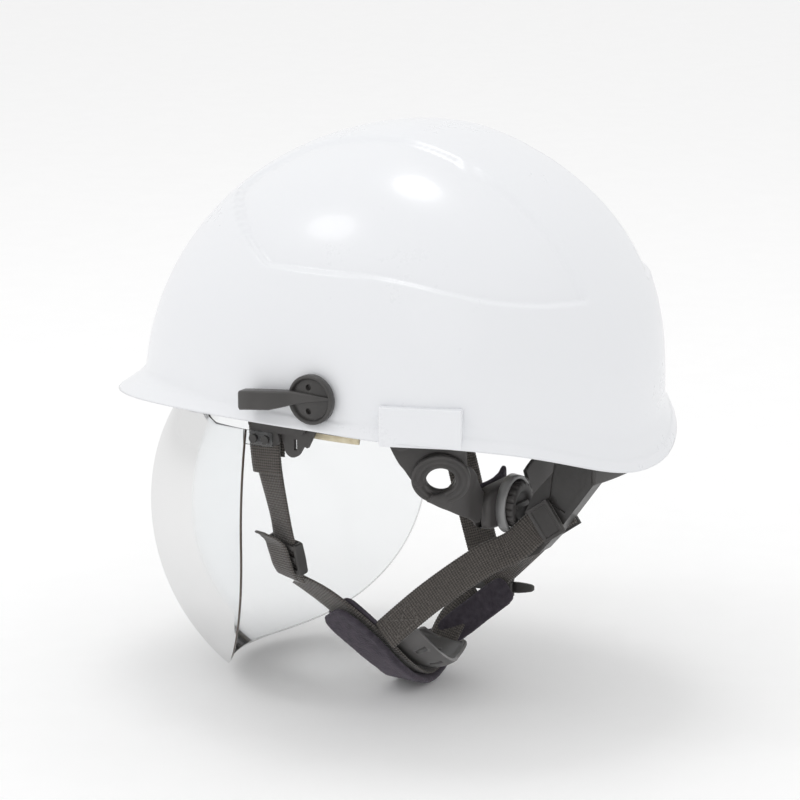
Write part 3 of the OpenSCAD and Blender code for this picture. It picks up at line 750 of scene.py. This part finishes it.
def face_shield():
    """The clear bubble with its edges, and the two tabs that the carriers are riveted to."""
    cols, rows = 110, 90
    verts = [sheet_point(0, 0.004)]
    verts += [sheet_point(2 * c / cols - 1, max(r / rows, 0.01)) for r in range(1, rows + 1)
              for c in range(cols + 1)]
    size = len(verts)
    verts += [p - sheet_normal(p) * SHEET_T for p in verts]
    w = cols + 1
    skin = [(0, 1 + c, 2 + c) for c in range(cols)]
    skin += [(1 + r * w + c, 1 + (r + 1) * w + c, 2 + (r + 1) * w + c, 2 + r * w + c)
             for r in range(rows - 1) for c in range(cols)]
    left = [0] + [1 + r * w for r in range(rows)]
    top = [1 + (rows - 1) * w + c for c in range(cols + 1)]
    right = [1 + r * w + cols for r in reversed(range(rows))] + [0]
    faces = list(skin) + [tuple(reversed([size + i for i in f])) for f in skin]
    plain = len(faces)
    for line in (left, top, right):
        faces += [(a, b, size + b, size + a) for a, b in zip(line, line[1:])]
    sheet = fix_normals(build("face_shield", verts, faces, CLEAR))
    sheet.data.materials.append(RIM_DARK_PAINTED_SHADE)
    sheet.data.materials.append(RIM_SOFT_PAINTED_SHADE)
    # painted shade: of the edge faces below z = -8, the near-side ones above z = -140 take the dark brown
    # edge colour and the rest the greyer hazy one; the top edge stays clear
    for face in sheet.data.polygons[plain:]:
        middle = face.center / MM
        if middle.z < -8:
            face.material_index = 1 if middle.x > 0 and middle.z > -140 else 2
    place(sheet, "visor", "visor_clear", "visor_sheet")
    tab = block("shield_tab_left", (85.45, -54.5, -17), (87.05, -37.5, -9.5), CLEAR)
    place_both(bevel(tab, 0.5, 2), "visor", "visor_clear")


# ---------- levers ----------

def levers():
    """Domed disc in a raised rim, with a blade that widens into a paddle."""
    x = 107.6
    face = [(9.9, 2.4), (9.3, 2.55), (7.5, 3.1), (5, 3.55), (2.5, 3.8), (0.2, 3.9)]
    rim = [(4, -0.4), (11.8, -0.4), (12.2, 0), (12.2, 3), (11.9, 3.6), (11.3, 3.8), (10.7, 3.6), (10.3, 3)]
    disc = lathe("disc", rim + face, (x, *PIVOT), AXIS_X, BLACK, 96)
    for z in (6.3, -5.6):
        tool = lathe("dimple", [(1.2, -1), (1.5, 0.6), (2.1, 3)], (x + 2.5, PIVOT[0] - 0.6, PIVOT[1] + z),
                     AXIS_X, BLACK, 24)
        cut(disc, tool)
    # the blade's outline: (Y from the axis, lower Z, upper Z, half thickness)
    blade = [(-38.6, -7.2, 0, 2.6), (-38.2, -8.1, 0.8, 3.3), (-37.2, -8.5, 1.2, 3.7), (-30, -7.6, 2, 3.7),
             (-21, -6.7, 2.8, 3.6), (-14, -4.7, 3.4, 3.3), (-8, -2.7, 3.9, 2.9), (0, -0.9, 3.5, 2.5),
             (8, 0.6, 2.8, 2), (11.2, 1.1, 2.4, 1.4)]
    sections = [((x + 1 + thick, PIVOT[0] + y, PIVOT[1] + (low + high) / 2), AXIS_X, AXIS_Z,
                 thick, (high - low) / 2, min(1.3, (high - low) * 0.3)) for y, low, high, thick in blade]
    paddle = loft("paddle", sections, BLACK)
    spindle = lathe("spindle", [(3.7, 0), (4, 0.3), (4, 18.9)], (88.9, *PIVOT), AXIS_X, BLACK, 40)
    bevel(disc, 0.15, 2, 50)
    handle = join("lever_handle_left", disc, paddle, spindle)
    place_both(handle, "lever_left_body", "lever_black", "lever_left")


# ---------- webbing ----------

BAR_LOOP = [(76, -45.2, -24, 0, 1, 0), (76, -45.2, -10, 0, 1, 0), (76.1, -45.2, -5, 0, 1, 0),
            (76.8, -45.2, -3.2, 0, 1, 0), (78.1, -45.2, -2.7, 0, 1, 0), (79.4, -45.2, -3.2, 0, 1, 0),
            (80.1, -45.2, -5, 0, 1, 0), (80.2, -45.2, -10, 0, 1, 0)]
FRONT_LEFT = BAR_LOOP + [(80, -43.6, -28, 0.15, 1, 0), (76, -40.4, -54, 0.35, 1, 0),
                         (73, -39.5, -68, 0.35, 1, 0.1), (68.4, -39.1, -84, 0.35, 1, 0.2),
                         (65.9, -39.4, -90, 0.35, 1, 0.3)]
FRONT_RIGHT = BAR_LOOP + [(79.2, -42.2, -21, 0, 1, 0), (70, -22.5, -43, 0.1, 1, -0.3),
                          (57, -5, -73, 0.2, 1, -0.5), (50, 5, -91, 0.2, 1, -0.4),
                          (46.2, 11.5, -104.4, 0.1, 1, -0.1)]
CHIN = [(62.5, -39, -91, 0.4, 1, 0.3), (55, -26, -101, 0.3, 1, 0.4), (43, -8, -120, 0.2, 1, 0.2),
        (27, 2, -139, 0.15, 1, 0), (2, -2, -151, 0, 1, 0), (-20, -4, -146, -0.1, 1, 0),
        (-32, -1, -132, -0.1, 1, 0), (-39.5, 6, -123, 0, 1, -0.2), (-42.4, 9, -121, 0, 1, -0.1)]
CLAMP_FROM, CLAMP_DIR, CLAMP_WIDE = (0, 69.3, -61.8), (0, 0.81, 0.58), (0, 0.58, -0.81)
CLAMP_STRAP_X = 6.9


def clamp_point(s, x):
    """Point at length s along a clamp, x to the left of the middle plane."""
    return (x, CLAMP_FROM[1] + CLAMP_DIR[1] * s, CLAMP_FROM[2] + CLAMP_DIR[2] * s)


REAR_TOP = [(*clamp_point(s, CLAMP_STRAP_X), *CLAMP_WIDE) for s in (13, -1.5)]
REAR_TOP.append((13.5, 59.2, -72.2, 0.1, 0.6, -0.75))
REAR_LEFT = REAR_TOP + [(24, 46.5, -79.5, 0.1, 0.6, -0.75), (36.5, 23.5, -98.6, 0.1, 0.75, -0.6),
                        (47.2, 3.1, -119.1, 0.1, 0.87, -0.48)]
REAR_RIGHT = REAR_TOP + [(35, 34, -94, 0.1, 0.8, -0.5), (40.6, 19, -108, 0, 0.85, -0.4),
                         (41.2, 13, -113.5, 0, 0.85, -0.4)]


def flip(stations):
    """Stations carried to the wearer's right."""
    return [(-p[0], p[1], p[2], -p[3], p[4], p[5]) for p in stations]


def moved(stations, by):
    return [tuple(a + b for a, b in zip(p[:3], by)) + tuple(p[3:6]) for p in stations]


def lay(name, stations, *nodes, **shape):
    """A strap in its place."""
    place(strap(name, stations, **shape), ROOT, "webbing", *nodes)


def sew(name, stations, lines, lift):
    """Thread on a strap, in its place."""
    place(stitches(name, stations, lines, lift), ROOT, "webbing")


def front_straps():
    """Webbing from the carrier bars, each with its end sewn back on itself."""
    lay("front_webbing_left", FRONT_LEFT, "front_strap_left")
    lay("front_webbing_right", flip(FRONT_RIGHT), "front_strap_right")
    for side, name in ((1, "left"), (-1, "right")):
        fold = [(79.2, -45.2, -1.3, 0, 1, 0), (81, -45.2, -2.8, 0, 1, 0), (81.8, -45.2, -6, 0, 1, 0),
                (81.9, -44.9, -16, 0, 1, 0), (81.6, -44.3, -27, 0.05, 1, 0), (81.3, -44, -32, 0.1, 1, 0)]
        fold = fold if side > 0 else flip(fold)
        lay("front_loop_" + name, fold, width=WEB_W + 1, thick=1.4)
        sew("front_loop_thread_" + name, fold, box_stitch(12.5, 24.5, 5.2), 0.95 * -side)


def slider():
    """Ladder slider on the left front strap, with the strap's free tail folded over it."""
    low, high = Vector((68.7, -39.2, -83)), Vector((72.7, -39.5, -69))
    run = (high - low).normalized()
    wide = square_to(Vector((0.35, 1, 0.15)), run)
    out = run.cross(wide)
    middle = (low + high) / 2
    rails = []
    for s in (1, -1):
        c = middle + wide * (s * 9.8)
        ends = [(-8.6, 2.2), (-8, 2.8), (0, 3.1), (8, 2.8), (8.6, 2.2)]
        rails.append(loft("rail", [(c + run * d, out, wide, h, 1.0, 0.6) for d, h in ends], BLACK))
    for d in (-7, 0.4, 7):
        for s in (1, -1):
            c = middle + run * d + out * (s * 2.2)
            ends = [(-9.6, 0.7), (-9, 0.95), (9, 0.95), (9.6, 0.7)]
            rails.append(loft("bar", [(c + wide * w, out, run, h, 1.3, 0.5) for w, h in ends], BLACK))
    place(join("slider_frame", *rails), ROOT, "lever_black", "slider_left")
    face = 1 if out.x > 0 else -1
    tail = []
    curl = ((-11.5, 2.6, 0), (-6, 4.3, 0), (1, 4.6, 0.6), (8, 5, 1.6), (13, 7.4, 3.4), (16, 10, 5))
    for d, lift, back in curl:
        p = middle + run * d + out * (face * lift) - wide * back
        tail.append((*p, *wide))
    lay("slider_tail", tail, width=WEB_W - 0.5, thick=1.4)
    sew("slider_tail_thread", tail, [(4, -5, 16, -5), (16, -5, 16, 5), (16, 5, 4, 5)], 0.9 * -face)


def chin_straps():
    """Chin strap and rear straps, with the seam on the left rear strap and the rivet at its front."""
    lay("chin_webbing", CHIN, "chin_strap")
    lay("rear_webbing_left", REAR_LEFT, "rear_strap_left", depth=0.2)
    lay("rear_webbing_right", flip(REAR_RIGHT), "rear_strap_right", depth=0.2)
    length = Run(REAR_LEFT).length
    lines = box_stitch(length - 20, length - 5, 5.6) + [(length - 2.5, -6.5, length - 2.5, 6.5)]
    for lift, name in ((0.85, "out"), (-0.85, "in")):
        sew("rear_thread_" + name, REAR_LEFT, lines, lift)
    # rivet where the front strap meets the chin strap
    rivet = lathe("chin_rivet", [(0.3, 2.2), (1.6, 2), (2.2, 1.4), (2.3, 0.8), (1.2, 0.6), (1.2, -1.6)],
                  (63.4, -37.4, -90.2), (0.93, -0.2, 0.3), STEEL, 32)
    place(rivet, ROOT, "rivet_steel")


# ---------- headband and arms ----------

BAND_W, BAND_L, BAND_Y = 77.5, 99, -8


def band_point(a, inset):
    return ((BAND_W - inset) * math.cos(a), BAND_Y + (BAND_L - inset) * math.sin(a))


def sweatband():
    """Padded cream strip inside the headband: crowned, stitched near both edges and lightly puckered."""
    start, end, steps, rise = -188, 8, 360, 18
    low, high = -12.6, 21.4
    verts = []
    for i in range(steps + 1):
        a = math.radians(start + (end - start) * i / steps)
        for side in (0, 1):
            for k in range(rise + 1):
                t = k / rise if side == 0 else 1 - k / rise
                crown = (1 - abs(2 * t - 1) ** 5)
                seam = 1 - 0.45 * math.exp(-((abs(2 * t - 1) - 0.82) / 0.05) ** 2)
                pucker = 0.12 * math.sin(i * 1.35) * abs(2 * t - 1) ** 3
                depth = (1.0 + 2.1 * crown * seam + pucker) if side else 0.25 * (1 - crown)
                x, y = band_point(a, 1.9 + depth)
                verts.append((x, y, low + (high - low) * t))
    piece = build("sweatband_pad", verts, tube(steps + 1, 2 * (rise + 1)), CREAM)
    place(fix_normals(piece), ROOT, "sweatband_cream", "sweatband")


ARM_TAB = [(72.5, 32, 20, -0.33, 0.94, 0, 17), (71.6, 38, 4, -0.3, 0.95, 0, 19),
           (71, 44.5, -11, -0.3, 0.95, 0, 18), (69.8, 46.9, -18.5, -0.4, 0.9, 0, 15.4),
           (68.6, 49, -25.5, -0.5, 0.86, 0, 13)]
ARM_TAIL = [(68, 49, -26, 0.2, 0.1, 1, 13), (62.6, 50.6, -30, 0.22, 0.15, 1, 12),
            (56, 51.5, -33, 0.25, 0.2, 1, 12), (49, 51.4, -37, 0.22, 0.15, 1, 11.4),
            (42, 50.5, -41, 0.2, 0.1, 1, 10.5), (30, 47.4, -48, 0, 0, 1, 9),
            (25.5, 46.4, -50, 0, 0, 1, 8)]
BOSS_AT, BOSS_AXIS, BORE_R = (68, 48, -25.4), (0.82, 0.45, -0.35), 7.25


def plate(name, stations, half_t, material, samples=6):
    """A bent plate through stations (x, y, z, width direction, half width) with rounded edges."""
    fine = [catmull(stations, k / samples) for k in range((len(stations) - 1) * samples + 1)]
    sections = [(*axes, p[6], half_t, half_t * 0.8) for p, axes in zip(fine, directions(fine))]
    return loft(name, sections, material, 3)


def arms():
    """Side arms: a bent plate from the headband, a ridged ring with a bore, and a tail to the nape."""
    tab = plate("tab", ARM_TAB, 1.15, DARK)
    tail = plate("tail", ARM_TAIL, 1.15, DARK)
    for piece in (tab, tail):
        cut(piece, lathe("bore", [(BORE_R, -12), (BORE_R, 12)], BOSS_AT, BOSS_AXIS, DARK))
    r, t = BORE_R, 2.2
    face = [(r, t - 0.5), (r + 0.5, t), (r + 1.4, t), (r + 1.8, t - 0.5), (r + 2.5, t - 0.5), (r + 2.9, t),
            (r + 4.2, t), (r + 4.7, t - 0.5), (r + 5.4, t - 0.6), (r + 5.8, t - 0.3), (r + 6.6, t - 0.4),
            (r + 7.2, t - 1)]
    back = [(radius, -height) for radius, height in face[::-1]]
    boss = ring("boss", face + back, BOSS_AT, BOSS_AXIS, DARK)
    place_both(join("arm_plate_left", tab, tail, boss), ROOT, "moulding_dark", "arm_left")


# ---------- nape ratchet ----------

RATCHET = (0, 44, -54)
TEETH = 18


def knob():
    """Serrated knob with a dished face, its hub and its pinion."""
    def grooves(a, radius):
        return -0.9 * max(0, math.cos(TEETH * a)) ** 2 if radius > 10.5 else 0

    profile = [(2.8, 2.2), (3, 6.2), (10, 6.2), (11.4, 6.5), (11.8, 7.3), (11.8, 12.2), (11.4, 13),
               (10.2, 13.4), (8.4, 13.3), (7, 12.7), (6.4, 11.7), (3, 11.6), (0.2, 11.6)]
    turned = lathe("turned", profile, RATCHET, AXIS_Y, DARK, 216, grooves)
    grip = loft("grip", [((x, 56.3, -54), AXIS_Z, AXIS_Y, h, 0.9, 0.6)
                         for x, h in ((-6.4, 1), (-5.8, 1.5), (5.8, 1.5), (6.4, 1))], DARK)
    return join("knob_turned", turned, grip)


def ratchet():
    """The nape ratchet: its knob, a pale collar round the knob that is a painted highlight on the knob's
    near edge, and the case that the racks slide in.
    """
    place(knob(), "knob_body", "moulding_dark", "ratchet_knob")
    _, y, z = RATCHET
    # painted highlight: this pale grey ring stands in for the light on the knob's near edge; the part
    # itself is dark moulding
    lip = [(12.7, 5.4), (12.7, 9.6), (13.1, 10.1), (14.2, 10.1), (14.7, 9.6), (15.2, 5.4)]
    collar = ring("ratchet_collar_painted_highlight", lip, RATCHET, AXIS_Y, COLLAR_PAINTED_HIGHLIGHT)
    place(collar, ROOT, "moulding_dark")
    ends = ((-23, 6, 3.4), (-22.2, 8, 4.4), (-18, 9.8, 4.8), (-9, 10.6, 4.8),
            (9, 10.6, 4.8), (18, 9.8, 4.8), (22.2, 8, 4.4), (23, 6, 3.4))
    case = loft("ratchet_case", [((sx, y + 0.8, z), AXIS_Z, AXIS_Y, tall, deep, 2.6)
                                 for sx, tall, deep in ends], DARK)
    passage = block("passage", (-60, -1.7, -8.7), (60, 1.7, 8.7), DARK, RATCHET)
    cut(case, passage)
    place(case, ROOT, "moulding_dark", "ratchet_housing")


# ---------- pads, cup and buckle ----------

def slice_of(stations, first, last, count):
    """Evenly spaced stations on part of a path, between two shares of its length."""
    run = Run(stations)
    made = []
    for k in range(count):
        centre, wide, _ = run.place(run.length * (first + (last - first) * k / (count - 1)))
        made.append((*centre, *wide))
    return made


def cushion(name, stations, half_w, half_t, shift):
    """A flat padded strip along stations, before it swells."""
    sections = []
    for i, (centre, wide, out) in enumerate(directions(stations)):
        f = 2 * i / (len(stations) - 1) - 1
        taper = (1 - abs(f) ** 8) ** 0.5 * 0.5 + 0.5
        thick = half_t * taper
        sections.append((centre + out * shift, wide, out, half_w * taper, thick, thick * 0.95))
    return loft(name, sections, FABRIC)


def pads():
    """Padded fabric on the chin strap, at the nape and under the crown."""
    path = moved(CHIN, (0, -4, 0))
    outer = cushion("outer", slice_of(path, 0.165, 0.84, 60), 12.4, 1.7, 4.2)
    inner = cushion("inner", slice_of(path, 0.165, 0.34, 30), 12.4, 1.2, -2.6)
    far = cushion("far", slice_of([(-26.5, -5, -142, 0, 0.66, -0.75), (-32.5, 6, -132, 0, 0.66, -0.75),
                                   (-36, 17, -122, 0, 0.66, -0.75), (-36.8, 29.5, -111.5, 0, 0.66, -0.75)],
                                  0, 1, 30), 8, 1.2, 0)
    place(join("chin_pad_soft", plump(outer, 1.3, 1.2), plump(inner, 1, 1), plump(far, 1, 1)), ROOT,
          "pad_fabric", "chin_pad")
    nape = cushion("nape_pad_soft", slice_of([(28, 31, -47, 0, 0, 1), (16, 35.5, -49, 0, 0, 1),
                   (0, 37.2, -50, 0, 0, 1), (-16, 35.5, -49, 0, 0, 1), (-28, 31, -47, 0, 0, 1)], 0, 1, 40),
                   6.2, 1.7, 0)
    place(plump(nape, 1.3, 1.2), ROOT, "pad_fabric", "nape_pad")
    top = lathe("crown_pad_soft", [(0.3, 95.6), (17, 94.3), (31, 90.6), (32.6, 92), (31.5, 94), (17, 98.2),
                                   (0.3, 99.6)], (0, BAND_Y, 0), AXIS_Z, FABRIC, 72)
    place(plump(top, 1.8, 1.0), ROOT, "pad_fabric", "crown_pad")


def chin_cup():
    """Rubber cup under the chin: a bowl-shaped sheet with four long slots and three small holes."""
    run = Run(moved(CHIN, (0, 4, 0)))
    first, last, rows, cols = 0.3, 0.8, 96, 48
    slots = [(0.2, 0.23, 5, 13), (0.2, 0.23, 35, 43), (0.36, 0.39, 5, 13), (0.36, 0.39, 35, 43),
             (0.62, 0.64, 23, 25), (0.74, 0.76, 23, 25), (0.86, 0.88, 23, 25)]
    verts, faces = [], []
    for i in range(rows + 1):
        f = i / rows
        centre, wide, out = run.place(run.length * (first + (last - first) * f))
        ease = (1 - abs(2 * f - 1) ** 6) ** 0.5
        half = 16.5 * (0.7 + 0.3 * ease)
        for k in range(cols + 1):
            v = 2 * k / cols - 1
            lift = -3.4 - 6 * abs(v) ** 2.5
            verts.append(centre + wide * (v * half) + out * lift)
    for i in range(rows):
        for k in range(cols):
            f = i / rows
            if any(a <= f <= b and lo <= k <= hi for a, b, lo, hi in slots):
                continue
            a = i * (cols + 1) + k
            faces.append((a, a + cols + 1, a + cols + 2, a + 1))
    cup = build("chin_cup_shell", verts, faces, GREY)
    modify(cup, "SOLIDIFY", thickness=1.8 * MM, offset=0)
    modify(cup, "BEVEL", width=0.35 * MM, segments=2, limit_method="ANGLE", angle_limit=math.radians(50))
    place(bake(cup), ROOT, "cup_grey", "chin_cup")


BUCKLE, HINGE = (-45.6, 14, -113), (-46.4, 25, -115)


def buckle():
    """Quick-release buckle: a ribbed housing with two ears, and a hinged tongue that points backwards."""
    ends = ((-9, 2.2, 4.2), (-8.2, 2.9, 4.9), (8.2, 2.9, 4.9), (9, 2.4, 4.4))
    body = loft("housing", [((BUCKLE[0], BUCKLE[1] + d, BUCKLE[2]), AXIS_X, AXIS_Z, hx, hz, 1.2)
                            for d, hx, hz in ends], BLACK)
    ribs = [loft("rib", [((BUCKLE[0] - 3, BUCKLE[1] + d, BUCKLE[2] + z), AXIS_Y, AXIS_X, 0.5, 0.5, 0.4)
                         for z in (-3.6, 3.6)], BLACK) for d in (-5, -3, -1, 1, 3)]
    ears = [lathe("ear", [(2.1, 0), (2.4, 0.3), (2.4, 1.4), (2.1, 1.7)],
                  (HINGE[0], HINGE[1], HINGE[2] + z), AXIS_Z, BLACK, 32) for z in (-5, 3.3)]
    place(join("buckle_housing", body, *ribs, *ears), ROOT, "lever_black", "buckle_body")
    hub = lathe("hub", [(2, -3), (2.4, -2.6), (2.4, 2.6), (2, 3)], HINGE, AXIS_Z, BLACK, 32)
    # (offset from the hinge, half width, half height)
    shape = ((-0.2, 1, 0, 1.5, 3), (-0.6, 5, 0.2, 1.4, 3), (-1, 9, 0.5, 1.2, 2.6), (-1, 12.6, 0.9, 0.9, 2),
             (-0.8, 14, 1.2, 0.5, 1.2))
    tongue = loft("tongue", [(Vector(HINGE) + Vector(by), AXIS_X, AXIS_Z, hx, hz, min(hx, hz) * 0.8)
                             for *by, hx, hz in shape], BLACK)
    place(join("buckle_tongue", hub, tongue), "buckle_lever_body", "lever_black", "buckle_lever")


# ---------- rear hanger ----------

HANGER = [(77, -33), (80, -12), (100, -14), (99.5, -37), (76.5, -68.5), (70, -76), (62, -80), (55, -79.5),
          (52.5, -76), (60.6, -72.5), (61.4, -56), (66, -46)]
CLAMP_TILT, COVER_X, PEG_X = 35.6, 7.8, 4.2


def hanger():
    """Central bracket with a recessed face each side, its bridge strip and its two covers."""
    plate_body = slab("plate", HANGER, -6, 6, BLACK)
    for side in (1, -1):
        inner = [(76.5, -36), (79, -24), (96.5, -25), (96, -36), (84, -53), (75, -49)]
        tool = slab("recess", inner, side * 5.2, side * 8, BLACK)
        cut(plate_body, tool)
    bevel(plate_body, 0.9, 3)
    stem = slab("stem", [(93, -12), (115.5, -12), (115.5, -20), (96, -24)], -5, 5, BLACK)
    bevel(stem, 0.8, 3)
    bow = [(x, 116.4 - x * x / 280, -20, 0, 0, 1, 8.5) for x in range(-32, 33, 8)]
    bridge = plate("bridge", bow, 1.3, BLACK)
    place(join("hanger_bracket", plate_body, stem, bridge), ROOT, "lever_black", "rear_hanger")
    turn = Matrix.Rotation(math.radians(CLAMP_TILT), 3, "X")
    start = clamp_point(0, COVER_X)
    cover = block("cover", (0, 0, -9.5), (1.8, 13.5, 9.5), DARK, start, turn)
    tool = block("tool", (1.2, 2.2, -7.6), (2.4, 11.3, 7.6), DARK, start, turn)
    cut(cover, tool)
    bevel(cover, 0.5, 3)
    pegs = [lathe("peg", [(1.3, 0), (1.5, 0.3), (1.5, 3.7)],
                  clamp_point(s, PEG_X), AXIS_X, DARK, 24)
            for s in (4, 10)]
    place_both(join("clamp_cover_left", cover, *pegs), ROOT, "moulding_dark", "clamp_left")


# ---------- crown straps ----------

def crown_straps():
    """Two webbing straps that cross over the crown."""
    def path(front, rear, top):
        made = []
        for k in range(25):
            c, s = math.cos(math.radians(7.5 * k)), math.sin(math.radians(7.5 * k))
            q = front if c > 0 else rear
            dx, dy = q[0], q[1] - BAND_Y
            turn = 1 if c > 0 else -1
            made.append((dx * abs(c), BAND_Y + dy * abs(c), q[2] + (top - q[2]) * abs(s) ** 0.9,
                         -dy * turn, dx * turn, 0))
        # the two halves meet at the top, where both give the same direction
        made[12] = (0, BAND_Y, top, *made[11][3:])
        return made

    over = path((68.5, -65, 12), (-66, 75, 8), 104)
    under = flip(path((68.5, -65, 12), (-66, 75, 8), 101.8))
    for letter, stations in (("a", over), ("b", under)):
        lay("crown_webbing_" + letter, stations, "crown_strap_" + letter, width=19, thick=1.2, rib=1.6)


# ---------- CAD pieces that stay ----------

def finish_frame():
    """Gives every CAD node its material, and rounds the edges of every one that still shows."""
    slots = {s["node"]: s["material_slot"] for s in frame["record"]["subparts"]}
    for name, obj in frame["nodes"].items():
        obj.data.materials.clear()
        obj.data.materials.append(FINISH[slots[name]])
        if not obj.hide_render:
            modify(obj, "WELD", merge_threshold=0.01 * MM)
            modify(obj, "BEVEL", width=0.35 * MM, segments=2, limit_method="ANGLE",
                   angle_limit=math.radians(40))


# ---------- stage ----------

FLOOR_GAP, FLOOR_SIZE = 2, 6000


def pale_floor():
    """A matt floor just below the lowest point."""
    sh = Shader("floor_pale")
    grain, = sh.patterns(("TexNoise", {"Scale": 40.0}))
    sh.colour(sh.ramp(grain.outputs["Fac"], (0.98, 0.98, 0.98), (0.99, 0.99, 0.99)))
    low = cad_box[0].z / MM - FLOOR_GAP
    corners = [(x * FLOOR_SIZE, y * FLOOR_SIZE, low) for x, y in ((-1, -1), (1, -1), (1, 1), (-1, 1))]
    floor = build("floor", corners, [(0, 1, 2, 3)], sh.settle(Roughness=0.9))


def area(name, at, target, size, power):
    light = bpy.data.lights.new(name, "AREA")
    light.shape, light.size, light.energy = "DISK", size, power
    obj = new_object(name, light)
    obj.location = at
    obj.rotation_euler = (Vector(target) - Vector(at)).to_track_quat("-Z", "Y").to_euler()


def stage():
    pale_floor()
    world = bpy.data.worlds.new("studio")
    world.use_nodes = True
    sky = world.node_tree.nodes["Background"]
    sky.inputs["Color"].default_value = (1, 1, 1, 1)
    sky.inputs["Strength"].default_value = 0.91
    bpy.context.scene.world = world
    area("key", (0.9, -1.0, 1.4), (0, 0, 0.03), 0.5, 2.2)
    area("fill", (1.5, 0.6, 0.5), (0, 0, 0), 1.0, 0.6)
    area("top", (-0.1, -0.2, 1.7), (0, 0, 0), 0.6, 3.6)
    bpy.context.scene.view_settings.view_transform = "Standard"


def camera():
    """Left rear view, slightly from above."""
    azimuth, elevation, distance = math.radians(120), math.radians(13.5), 1.5
    back = Vector((math.sin(azimuth) * math.cos(elevation), -math.cos(azimuth) * math.cos(elevation),
                   math.sin(elevation)))
    cam = bpy.data.cameras.new("camera")
    cam.sensor_width, cam.lens = 36, 131.9
    cam.shift_x, cam.shift_y = -0.0316, -0.015
    obj = new_object("camera", cam)
    obj.location = back * distance
    obj.rotation_euler = (-back).to_track_quat("-Z", "Y").to_euler()
    bpy.context.scene.camera = obj


for make in (shells, face_shield, levers, front_straps, slider, chin_straps, sweatband, arms, ratchet, pads,
             chin_cup, buckle, hanger, crown_straps, finish_frame, stage, camera):
    make()
bpy.context.view_layer.update()
